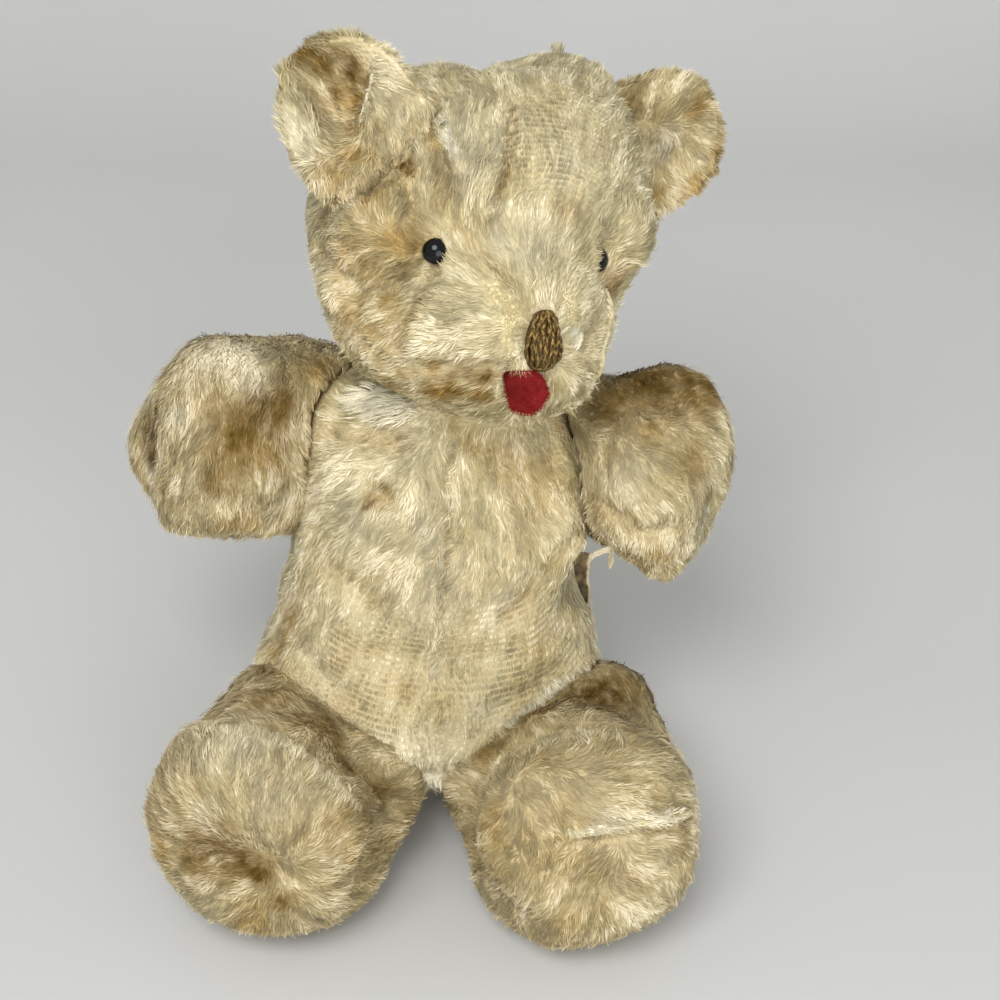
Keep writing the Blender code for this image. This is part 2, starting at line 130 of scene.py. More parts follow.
# The outline of the tongue and the edges of the label and of its torn tail, in millimetres. A scratch
# script worked them out from places picked by eye on the photograph; the label's were then adjusted.
TONGUE_RIM = [(26.8, -11.2, 154.7), (28.8, -11.2, 153.0), (30.2, -11.4, 149.4), (29.9, -11.7, 146.6),
              (27.8, -12.1, 143.8), (24.9, -12.2, 142.7), (20.9, -12.1, 143.9), (19.9, -11.8, 146.4),
              (19.0, -11.3, 150.0), (18.7, -11.2, 153.7), (19.8, -11.2, 154.7), (22.9, -11.2, 154.9)]
LABEL_INNER = [(43.2, 8.6, 62.4), (41.8, 7.6, 66.5), (40.5, 7.0, 71.0), (39.6, 6.9, 75.5), (39.4, 7.2, 79.0),
               (40.6, 7.8, 81.6)]
LABEL_OUTER = [(43.8, 9.0, 61.8), (44.5, 8.8, 66.5), (43.9, 8.6, 71.0), (44.3, 8.7, 75.5), (44.1, 8.8, 78.4),
               (44.8, 9.2, 80.6)]
TAIL_OVER = [(43.6, 8.6, 78.9), (45.6, 8.9, 81.3), (47.9, 9.2, 82.2), (49.7, 9.4, 83.0), (50.9, 9.6, 82.7),
             (51.3, 9.7, 79.3), (51.3, 9.9, 76.2), (50.3, 10.0, 73.5)]
TAIL_UNDER = [(43.8, 8.2, 77.4), (45.9, 8.5, 79.8), (48.0, 8.6, 80.5), (49.2, 8.8, 81.1), (49.8, 9.0, 80.6),
              (49.5, 9.1, 78.9), (49.5, 9.3, 77.0), (49.2, 9.4, 75.4)]

# ---------------------------------------------------------------- places, in millimetres
# The places were picked on the photograph. A scratch script then put most of them on the CAD solids and
# printed them, with the directions of COMB and LOCKS and the reaches of BLOTS_AND_SHADE.
# Where the pile lies which way: place, direction.
COMB = {
    "head": [
        ((30, 4, 172), (0.1, 0.7, 0.8)), ((34, 21, 192), (0.0, 0.7, 0.7)),
        ((18, 24, 202), (-0.2, 0.8, 0.5)), ((45, 33, 194), (0.2, 0.9, 0.4)),
        ((52, 28, 170), (0.4, 0.9, 0.2)), ((-9, 1, 161), (-0.8, 0.1, -0.6)),
        ((-23, 11, 164), (-0.6, 0.5, -0.6)), ((-20, 17, 178), (-0.6, 0.8, -0.1)),
        ((-11, 20, 188), (-0.3, 0.9, 0.3)), ((-1, 3, 169), (-0.9, -0.0, -0.4)),
        ((18, -7, 161), (-1.0, 0.1, -0.2)), ((4, -5, 157), (-0.9, 0.2, -0.5)),
        ((10, -8, 147), (-0.7, 0.5, -0.5)), ((34, -5, 141), (0.2, 0.6, -0.7)),
        ((41, 8, 162), (0.5, 0.9, -0.0)), ((42, 1, 154), (0.3, 0.7, -0.6)),
        ((4, 12, 184), (-0.3, 0.5, 0.8)), ((-26, 10, 151), (-0.2, 0.6, -0.7)),
        ((10, 45, 210), (0.0, 1.0, -0.1)), ((30, 45, 208), (0.0, 1.0, -0.1)),
        ((20, 75, 206), (0.0, 0.9, -0.5)), ((-15, 60, 195), (-0.4, 0.8, -0.5)),
        ((50, 60, 192), (0.4, 0.8, -0.5)), ((12, 98, 185), (0.0, 0.3, -1.0)),
        ((-20, 85, 170), (-0.3, 0.4, -0.9)), ((45, 88, 165), (0.3, 0.4, -0.9)),
    ],
    "torso": [
        ((-30, 21, 122), (-0.6, 0.8, -0.2)), ((-11, 12, 118), (-0.9, -0.1, -0.3)),
        ((-25, 8, 109), (-0.9, 0.3, -0.5)), ((3, 7, 112), (-0.1, -0.5, -0.9)),
        ((20, 11, 116), (0.1, -0.5, -0.8)), ((32, 7, 101), (0.1, -0.4, -0.9)),
        ((37, 0, 74), (-0.5, -0.7, -0.6)), ((-32, -6, 75), (-0.4, -0.2, -0.9)),
        ((-11, -9, 77), (-0.2, -0.4, -0.9)), ((18, -14, 63), (-0.0, -0.4, -0.9)),
        ((40, -3, 58), (-0.4, -0.7, -0.6)), ((-3, -24, 33), (0.0, 0.2, -1.0)),
        ((-38, 2, 83), (-0.4, 0.1, -0.9)), ((-17, -2, 93), (-0.7, -0.1, -0.7)),
        ((12, 16, 123), (-0.4, -0.6, -0.6)), ((31, 16, 116), (0.4, -0.2, -0.9)),
    ],
    "leg_right": [
        ((-54, -74, 53), (-0.2, 0.6, 0.8)), ((-44, -77, 53), (0.0, 0.6, 0.8)),
        ((-36, -78, 50), (0.4, 0.5, 0.7)), ((-63, -73, 48), (-0.9, 0.5, -0.1)),
        ((-66, -74, 36), (-0.6, 0.4, -0.7)), ((-61, -77, 27), (-0.5, 0.3, -0.8)),
        ((-51, -79, 30), (-0.3, 0.2, -0.9)), ((-41, -81, 28), (0.1, 0.1, -1.0)),
        ((-32, -81, 37), (0.9, 0.2, -0.4)), ((-28, -79, 45), (0.9, 0.4, -0.2)),
        ((-32, -74, 57), (0.5, 0.9, 0.1)), ((-57, -64, 64), (-0.2, 1.0, 0.2)),
        ((-71, -63, 56), (-0.5, 0.8, -0.3)), ((-30, -45, 54), (-0.2, -0.9, 0.5)),
        ((-15, -60, 48), (0.5, 0.4, -0.8)), ((-45, -31, 59), (-0.8, 0.7, -0.1)),
        ((-60, -60, 62), (-0.2, -0.4, 0.9)), ((-40, -20, 60), (-0.2, -0.9, 0.3)),
        ((-70, -20, 50), (-0.3, -0.9, 0.1)),
    ],
    "leg_left": [
        ((23, -41, 51), (-0.1, 1.0, -0.3)), ((44, -59, 68), (0.1, 1.0, -0.3)),
        ((13, -61, 54), (-0.2, 0.9, -0.5)), ((28, -72, 63), (0.7, -0.5, -0.5)),
        ((44, -81, 45), (-0.8, -0.2, -0.6)), ((55, -80, 40), (0.7, 0.4, -0.6)),
        ((34, -84, 33), (-0.5, -0.0, -0.9)), ((13, -77, 46), (-0.2, 0.0, -1.0)),
        ((58, -71, 58), (0.7, 0.6, -0.4)), ((41, -20, 53), (-0.8, -0.6, 0.0)),
        ((58, -22, 51), (0.0, -0.9, 0.4)), ((4, -59, 42), (-0.4, 0.5, -0.8)),
        ((49, -72, 62), (0.8, -0.2, -0.6)), ((45, -60, 62), (0.2, -0.4, 0.9)),
        ((40, -20, 60), (0.2, -0.9, 0.3)), ((65, -20, 50), (0.3, -0.9, 0.1)),
    ],
    "arm_right": [
        ((-57, 30, 138), (0.1, -1.0, -0.2)), ((-70, 20, 138), (-0.3, -0.8, -0.5)),
        ((-78, 16, 131), (-0.4, -0.0, -0.9)), ((-72, 7, 128), (-0.1, -0.4, -0.9)),
        ((-80, 9, 110), (-0.2, 0.1, -1.0)), ((-73, 1, 101), (-0.3, 0.5, -0.9)),
        ((-59, -0, 104), (-0.1, 0.2, -1.0)), ((-42, 10, 106), (-0.1, 0.3, -1.0)),
        ((-46, 17, 130), (-0.3, -0.8, -0.5)), ((-52, 7, 127), (-0.3, -0.6, -0.7)),
        ((-63, 5, 129), (-0.3, -0.5, -0.8)), ((-34, 31, 130), (-0.1, -0.9, -0.4)),
        ((-39, 15, 120), (-0.1, -0.3, -1.0)), ((-52, 3, 111), (-0.2, -0.1, -1.0)),
        ((-60, 14, 137), (0.0, -1.0, -0.2)), ((-72, 14, 134), (-0.2, -1.0, -0.2)),
        ((-48, 16, 134), (0.0, -1.0, -0.2)), ((-60, 34, 138), (0.0, -1.0, 0.0)),
        ((-40, 30, 134), (0.2, -1.0, 0.0)), ((-84, 34, 122), (-0.5, -0.6, -0.5)),
        ((-60, 60, 125), (0.0, 0.4, -0.9)),
    ],
    "arm_left": [
        ((46, 14, 124), (0.8, 0.6, 0.3)), ((69, 19, 126), (0.5, 0.9, -0.1)),
        ((51, -1, 114), (0.2, -0.4, -0.9)), ((74, 9, 120), (0.7, 0.7, -0.2)),
        ((64, -5, 96), (0.0, 0.2, -1.0)), ((46, 6, 119), (-0.0, -0.5, -0.9)),
        ((60, 5, 123), (0.6, 0.7, 0.3)), ((42, 2, 91), (-0.1, 0.5, -0.9)),
        ((60, 8, 124), (0.1, -1.0, -0.2)), ((72, 10, 120), (0.2, -1.0, -0.2)),
        ((52, 12, 125), (0.0, -1.0, -0.2)), ((62, 30, 126), (0.1, -1.0, 0.0)),
        ((82, 36, 108), (0.6, -0.4, -0.6)), ((60, 58, 112), (0.0, 0.4, -0.9)),
    ],
    "ear_right": [
        ((-35, 26, 204), (-0.4, 0.5, 0.8)), ((-37, 34, 212), (-0.4, 0.7, 0.6)),
        ((-28, 40, 220), (-0.4, 0.4, 0.8)), ((-22, 38, 218), (-0.8, 0.3, 0.5)),
        ((-23, 36, 213), (-0.8, 0.4, 0.5)), ((-24, 34, 208), (-0.8, 0.4, 0.5)),
        ((-25, 29, 203), (-0.8, 0.4, 0.5)), ((-15, 39, 220), (0.9, 0.3, 0.1)),
        ((-15, 37, 215), (1.0, -0.1, -0.2)), ((-18, 34, 210), (0.8, -0.3, -0.4)),
        ((-19, 30, 203), (0.4, -0.7, -0.6)), ((-8, 38, 216), (1.0, 0.2, -0.1)),
        ((-10, 40, 220), (1.0, 0.3, 0.0)), ((-6, 32, 207), (-0.2, -0.6, -0.8)),
        ((-12, 28, 201), (-0.3, -0.6, -0.8)), ((-19, 23, 196), (-0.4, -0.5, -0.8)),
        ((-26, 20, 194), (-0.4, -0.5, -0.8)), ((-31, 21, 196), (-0.5, -0.4, -0.7)),
    ],
    "ear_left": [
        ((62, 81, 186), (0.0, 0.2, 1.0)), ((71, 85, 190), (0.5, 0.2, 0.9)),
        ((77, 85, 184), (1.0, 0.1, -0.2)), ((80, 83, 175), (0.9, 0.1, -0.4)),
        ((74, 77, 165), (0.7, -0.0, -0.7)), ((65, 74, 163), (-0.2, -0.5, -0.8)),
        ((68, 81, 176), (-0.1, -0.4, -0.9)), ((59, 78, 178), (-0.2, -0.3, -1.0)),
    ],
}
# Stains, bleached patches, painted shade and painted light: place, reach, amounts of tan, soil and pale.
# Rows with a reach of 24 mm or more paint shade over whole regions.
BLOTS_AND_SHADE = {
    "head": [
        # The first ten rows paint the shadow along the fold of the forehead.
        ((21, 36, 209), 1.1, 0.5, 1, 0), ((21, 32, 207), 1.1, 0.5, 1.1, 0),
        ((21, 29, 205), 1.1, 0.5, 1.2, 0), ((21, 27, 203), 1.1, 0.5, 1.2, 0),
        ((20, 24, 201), 1.1, 0.5, 1.1, 0), ((20, 22, 199), 1.1, 0.5, 1.1, 0),
        ((19, 20, 197), 1.1, 0.5, 1, 0), ((18, 18, 195), 1.1, 0.5, 1, 0),
        ((17, 16, 193), 1.1, 0.5, 0.9, 0), ((16, 14, 190), 1.1, 0.5, 0.8, 0),
        ((-23, 6, 153), 3.5, 0, 0, 0.5), ((17, 24, 202), 2.1, 0, 0, 0.6), ((4, -4, 160), 7, 0.12, 0.12, 0),
        ((-10, 14, 181), 8, 0.75, 0.1, 0), ((-21, 17, 176), 9, 0.62, 0.06, 0),
        ((-16, 12, 175), 4, 0.8, 0.1, 0), ((-15, 23, 187), 7, 0.8, 0.2, 0),
        ((-24, 11, 163), 6, 0.6, 0.05, 0), ((-6, 27, 196), 2.9, 0.8, 0.55, 0),
        ((-25, 8, 152), 4, 0.5, 0, 0), ((-12, 6, 138), 6, 1, 0.35, 0), ((1, -4, 144), 6, 1, 0.42, 0),
        ((11, -8, 147), 4, 0.95, 0.45, 0), ((51, 23, 163), 3.3, 0.85, 0.5, 0),
        ((-7, 5, 170), 2.7, 0.9, 0.35, 0), ((35, 19, 187), 4, 0.55, 0.1, 0),
        ((-29, 35, 181), 5, 0.8, 0.2, 0), ((-20, 10, 168), 3.8, 0.7, 0.1, 0),
        ((-29, 14, 153), 3.3, 0.6, 0.1, 0), ((-17, 32, 191), 3.3, 0.6, 0.1, 0),
        ((34, 29, 200), 7, 0, 0, 0.35), ((10, 22, 200), 8, 0, 0, 0.35), ((28, 9, 180), 10, 0, 0, 0.35),
        ((55, 34, 173), 4, 0, 0, 0.3), ((18, 7, 181), 6, 0, 0, 0.4), ((37, -6, 149), 2.1, 0, 0, 0.5),
        ((40, 3, 159), 3.8, 0.15, 0.05, 0), ((45, 6, 151), 3.3, 0.3, 0.1, 0),
        ((23, 39, 210), 7, 0.2, 0.05, 0), ((45, 36, 197), 5, 0.15, 0.08, 0), ((2, 36, 205), 1.6, 0, 0, 1),
        ((3, 30, 203), 1.9, 0, 0, 1), ((5, 25, 201), 1.6, 0, 0, 1), ((-6, 27, 196), 2.1, 1, 1, 0),
        ((-8, 38, 198), 2.7, 0.5, 0.1, 0), ((-0, 19, 175), 2.2, 0.8, 0.7, 0),
        ((-6, 8, 173), 2.7, 1, 0.7, 0), ((-8, 6, 170), 2.9, 1, 0.66, 0), ((-9, 3, 165), 2.4, 0.9, 0.4, 0),
        ((-12, 7, 168), 3.5, 0.95, 0.45, 0), ((-18, 9, 168), 3.2, 0.85, 0.3, 0),
        ((-26, 20, 171), 2.4, 0.8, 0.35, 0), ((-22, 12, 167), 2.4, 0.8, 0.3, 0),
        ((30, -10, 149), 1.6, 0.5, 0.2, 0), ((-1, -4, 151), 2.7, 0.8, 0.3, 0),
        # The rows from (9, -8, 152) to (16, -10, 153) paint the shadow along the mouth's line.
        ((10, -8, 154), 2.4, 0.8, 0.3, 0), ((9, -8, 152), 1.6, 0.7, 0.9, 0),
        ((12, -9, 152), 1.9, 0.8, 1.1, 0), ((14, -9, 152), 1.9, 0.9, 1.3, 0),
        ((16, -10, 153), 1.9, 0.9, 1.3, 0), ((-1, -4, 145), 4, 1, 0.5, 0),
        ((4, -6, 147), 3.7, 1.1, 0.6, 0), ((11, -9, 148), 2.4, 0.9, 0.5, 0),
        ((-9, 7, 171), 2.7, 1.1, 1, 0), ((-13, 7, 169), 2.7, 1, 0.8, 0), ((-8, 7, 172), 2.9, 1.1, 1.4, 0),
        ((50, 22, 162), 3.3, 1, 1.3, 0), ((49, 19, 160), 1.9, 0.9, 0.8, 0),
        ((-5, 12, 180), 2.4, 0.9, 0.8, 0), ((-24, 10, 161), 2.7, 0.9, 0.5, 0),
        ((-11, -1, 149), 2.7, 0.9, 0.45, 0), ((42, 3, 156), 3.2, 0.4, 0.15, 0),
        ((-20, 90, 160), 10, 0.5, 0.2, 0), ((40, 92, 170), 12, 0.4, 0.15, 0),
        ((12, 100, 130), 12, 0.6, 0.3, 0), ((5, 85, 200), 12, 0, 0, 0.5),
        ((-30, 60, 150), 10, 0.6, 0.25, 0), ((30, 104, 150), 9, 0, 0, 0.5),
    ],
    "torso": [
        # The wide first row paints shade over the belly; the rows near (-18, 3, 104) paint the chest dimple's
        # shade; the pale rows at the bottom of the V paint light into its shade.
        ((0, -11, 72), 32, 0.1, 0.1, 0), ((-16, 4, 106), 1.7, 1, 1.3, 0), ((-18, 3, 104), 2, 1, 1.4, 0),
        ((-20, 3, 102), 1.7, 1, 1.2, 0), ((-45, 0, 64), 5, 0.7, 0.5, 0), ((-47, -2, 54), 5, 0.75, 0.55, 0),
        ((-41, 0, 73), 2.6, 0.5, 0.3, 0), ((3, -22, 17), 7, 0, 0, 1), ((-12, -24, 27), 6, 0, 0, 1),
        ((-9, 2, 102), 4, 0, 0, 0.4), ((-4, -2, 95), 4, 0, 0, 0.5), ((37, 14, 103), 3.5, 0.6, 0.25, 0),
        ((38, 12, 91), 3.5, 0.6, 0.25, 0), ((26, 6, 106), 10, 0.5, 0.14, 0),
        ((-17, 3, 104), 2.6, 0.6, 0.7, 0), ((-28, -19, 48), 8, 0.2, 0.15, 0),
        ((31, -10, 63), 7, 0.35, 0.22, 0), ((-11, 14, 121), 11, 0, 0, 0.4), ((-25, 2, 98), 10, 0, 0, 0.35),
        ((18, -9, 74), 5, 0, 0, 0.8), ((-3, -24, 27), 10, 0, 0, 0.95), ((0, -9, 77), 9, 0, 0, 0.3),
        ((40, 22, 102), 4, 0.6, 0.2, 0), ((-31, -1, 86), 5, 0.3, 0.1, 0),
        ((-27, -14, 61), 5, 0.35, 0.12, 0), ((-35, -8, 68), 4, 0.3, 0.1, 0),
        ((6, 14, 121), 5, 0.25, 0.1, 0), ((12, -20, 49), 5, 0, 0, 0.6), ((-12, -23, 38), 6, 0, 0, 0.6),
        ((23, -1, 92), 6, 0.3, 0.08, 0), ((-13, -6, 85), 5, 0.25, 0.08, 0),
        ((9, -15, 62), 5, 0.25, 0.08, 0), ((-58, 18, 36), 10, 0.7, 0.9, 0),
        ((-52, 32, 42), 10, 0.6, 0.6, 0), ((20, 68, 60), 9, 0.6, 0.25, 0),
        ((-25, 64, 95), 10, 0.5, 0.2, 0), ((-40, 30, 40), 9, 0.6, 0.3, 0), ((45, 40, 50), 9, 0.6, 0.3, 0),
        ((0, 66, 20), 14, 0.7, 0.4, 0), ((-10, 70, 60), 10, 0, 0, 0.6), ((6, 68, 90), 6, 0, 0, 0.6),
    ],
    "leg_right": [
        ((-53, -8, 53), 5, 0.9, 1, 0), ((-39, -38, 58), 7, 0.9, 0.8, 0), ((-49, -33, 61), 7, 0.9, 0.75, 0),
        ((-24, -46, 49), 7, 0.9, 0.75, 0), ((-58, -25, 57), 4, 0.8, 0.6, 0),
        ((-14, -53, 44), 4, 0.9, 0.7, 0), ((-57, -76, 43), 9, 0.9, 0.95, 0),
        ((-65, -75, 37), 7, 0.9, 0.8, 0), ((-41, -81, 29), 5, 0.85, 0.7, 0),
        ((-51, -78, 18), 8, 0.85, 0.2, 0), ((-78, -65, 33), 6, 0.85, 0.3, 0),
        ((-53, -57, 68), 9, 0, 0, 0.5), ((-31, -37, 51), 10, 0.8, 0.6, 0),
        ((-16, -44, 41), 7, 0.8, 0.6, 0), ((-51, -27, 58), 9, 0.7, 0.5, 0),
        ((-24, -75, 51), 8, 0.7, 0.35, 0), ((-66, -65, 59), 6, 0.5, 0.2, 0),
        ((-43, -73, 60), 6, 0, 0, 0.35), ((-14, -59, 46), 6, 0.8, 0.5, 0),
        ((-43, -22, 54), 6, 0.35, 0.25, 0), ((-36, -79, 48), 4, 0.5, 0.3, 0),
        ((-56, -35, 62), 7, 0.3, 0.3, 0), ((-18, -74, 42), 5, 0.6, 0.2, 0),
        ((-61, -72, 54), 3.7, 0, 0, 0.4), ((-57, -76, 45), 5, 0.8, 0.7, 0),
        ((-50, -78, 40), 3.8, 0.8, 0.65, 0), ((-65, -73, 46), 3.8, 0.7, 0.55, 0),
        ((-41, -81, 29), 3.5, 0.7, 0.55, 0), ((-52, -14, 54), 4, 0.7, 0.6, 0),
        ((-66, -73, 42), 6, 0.6, 0.45, 0), ((-55, -77, 42), 6, 1, 1.15, 0), ((-49, -79, 39), 5, 1, 1.3, 0),
        ((-52, -78, 39), 4, 1, 1, 0), ((-46, -76, 55), 24, 0.15, 0.12, 0),
        ((-58, -75, 46), 5, 0.9, 0.85, 0), ((-67, -72, 47), 5, 0.6, 0.5, 0),
        ((-62, -76, 37), 5, 0.8, 0.7, 0), ((-41, -81, 29), 3.8, 0.9, 0.9, 0),
        ((-80, -30, 30), 12, 0.7, 0.4, 0), ((-60, 0, 50), 10, 0.5, 0.2, 0),
    ],
    "leg_left": [
        ((41, -79, 55), 24, 0.15, 0.12, 0), ((69, -70, 41), 6, 0.5, 0.5, 0),
        ((45, -17, 53), 13, 1, 1.1, 0), ((26, -26, 49), 7, 0.9, 0.7, 0), ((12, -32, 41), 6, 0.9, 0.6, 0),
        ((13, -76, 50), 8, 0.75, 0.3, 0), ((34, -82, 46), 6, 0.5, 0.1, 0),
        ((34, -84, 24), 8, 0.5, 0.04, 0), ((49, -77, 55), 4, 0, 0, 0.8), ((69, -68, 46), 3.8, 0.8, 0.9, 0),
        ((23, -66, 62), 6, 0.3, 0.15, 0), ((44, -68, 66), 6, 0.15, 0.05, 0.1),
        ((55, -80, 37), 8, 0.4, 0.2, 0), ((62, -35, 54), 6, 0.6, 0.35, 0), ((7, -59, 47), 4, 0.9, 0.35, 0),
        ((36, -75, 62), 5, 0.4, 0.15, 0), ((45, -83, 30), 4, 0.5, 0.1, 0),
        ((58, -69, 60), 5, 0.35, 0.15, 0), ((70, -70, 31), 3.9, 0.5, 0.2, 0),
        ((28, -83, 41), 3.7, 0.6, 0.3, 0), ((74, -30, 30), 12, 0.7, 0.4, 0),
        ((60, 0, 50), 10, 0.5, 0.2, 0),
    ],
    "arm_right": [
        ((-56, 22, 137), 7, 0, 0, 0.8), ((-64, 21, 139), 5, 0, 0, 0.7), ((-51, 13, 131), 7, 1, 1, 0),
        ((-84, 17, 119), 4, 1, 1.25, 0), ((-83, 15, 111), 3.2, 1, 1, 0), ((-88, 24, 113), 3.5, 1, 1.3, 0),
        ((-54, 5, 125), 12, 0.95, 0.85, 0), ((-82, 17, 124), 5, 0.9, 0.8, 0),
        ((-47, 7, 118), 7, 0.9, 0.6, 0), ((-43, 17, 128), 9, 0.95, 0.72, 0),
        ((-88, 23, 115), 5, 0.95, 1, 0), ((-90, 26, 102), 3.5, 0.9, 0.8, 0),
        ((-86, 22, 120), 3.7, 0.95, 1, 0), ((-85, 17, 113), 2.9, 0.9, 0.9, 0),
        ((-57, 3, 94), 7, 0.8, 0.2, 0), ((-34, 34, 131), 7, 0.85, 0.5, 0), ((-59, 28, 139), 10, 0, 0, 1),
        ((-73, 8, 128), 3.6, 0, 0, 0.8), ((-45, 9, 100), 5, 0.2, 0, 0.5),
        ((-62, -1, 113), 7, 0.8, 0.45, 0), ((-84, 15, 103), 4, 0, 0, 0.5),
        ((-65, 1, 122), 4, 0.6, 0.35, 0), ((-40, 13, 113), 4, 0.6, 0.3, 0),
        ((-79, 19, 132), 4, 0.4, 0.2, 0), ((-85, 50, 110), 9, 0.7, 0.4, 0), ((-60, 64, 110), 8, 0, 0, 0.4),
    ],
    "arm_left": [
        ((61, 25, 128), 12, 0.95, 0.95, 0), ((74, 24, 125), 9, 1, 0.95, 0),
        ((52, 22, 127), 6, 0.9, 0.8, 0), ((74, 5, 115), 7, 0.75, 0.4, 0), ((64, -4, 87), 6, 0.6, 0.25, 0),
        ((53, -3, 112), 7, 0, 0, 0.4), ((48, 19, 126), 9, 0.9, 0.7, 0), ((60, 8, 125), 7, 0.7, 0.25, 0),
        ((64, -5, 104), 6, 0.3, 0, 0.3), ((42, 1, 98), 5, 0.6, 0.3, 0), ((78, 8, 100), 4, 0.6, 0.3, 0),
        ((46, 5, 118), 5, 0.4, 0.15, 0), ((39, 24, 124), 4, 0.8, 0.5, 0), ((84, 50, 95), 9, 0.7, 0.4, 0),
        ((60, 62, 100), 8, 0, 0, 0.4),
    ],
    "ear_right": [
        # The rows with soil of 1 or more paint the shade of the ear's cup as well as its dirt.
        ((-23, 38, 217), 3.2, 1, 1, 0), ((-26, 36, 211), 3.2, 1, 0.85, 0),
        ((-35, 42, 218), 3.5, 0.95, 0.62, 0), ((-30, 40, 216), 4, 0.95, 0.66, 0),
        ((-24, 37, 214), 3.7, 0.95, 0.7, 0), ((-20, 36, 214), 2.7, 0.95, 0.8, 0),
        ((-25, 39, 218), 3.2, 0.9, 0.5, 0), ((-28, 35, 209), 3.2, 0.95, 0.45, 0),
        ((-24, 34, 208), 3.7, 1, 0.22, 0), ((-23, 31, 204), 3.7, 1, 0.2, 0),
        ((-23, 27, 200), 3.7, 0.9, 0.2, 0), ((-26, 29, 203), 2.1, 0.9, 0.5, 0),
        ((-18, 27, 201), 4, 0.7, 0.12, 0), ((-14, 31, 205), 3.2, 0.6, 0.12, 0),
        ((-27, 22, 197), 5, 0.85, 0.2, 0), ((-37, 29, 208), 5, 0, 0, 0.6), ((-34, 25, 202), 4, 0, 0, 0.5),
        ((-37, 23, 200), 3.2, 0, 0, 0.4), ((-10, 39, 218), 5, 0, 0, 0.5), ((-24, 37, 214), 2.4, 1, 1.3, 0),
        ((-28, 39, 216), 2.7, 1, 1.1, 0), ((-33, 41, 218), 2.7, 1, 0.9, 0), ((-17, 39, 219), 1.3, 0, 0, 1),
        ((-6, 36, 213), 2.1, 0.4, 0.2, 0),
    ],
    "ear_left": [
        ((67, 81, 176), 3.9, 0, 0, 1), ((56, 79, 186), 3.2, 1, 1.1, 0), ((59, 81, 190), 5, 0.95, 0.55, 0),
        ((57, 79, 174), 3.6, 0.95, 0.4, 0), ((78, 86, 188), 4, 0.8, 0.5, 0),
        ((84, 84, 175), 3.6, 0.95, 0.75, 0), ((78, 77, 162), 6, 0.95, 0.25, 0),
        ((66, 81, 178), 3, 0, 0, 0.9), ((74, 85, 186), 3, 0.9, 0.5, 0), ((65, 74, 165), 5, 0.8, 0.25, 0),
        ((78, 81, 172), 2.7, 0, 0, 0.6), ((71, 80, 173), 2.4, 0.8, 0.3, 0),
    ],
}
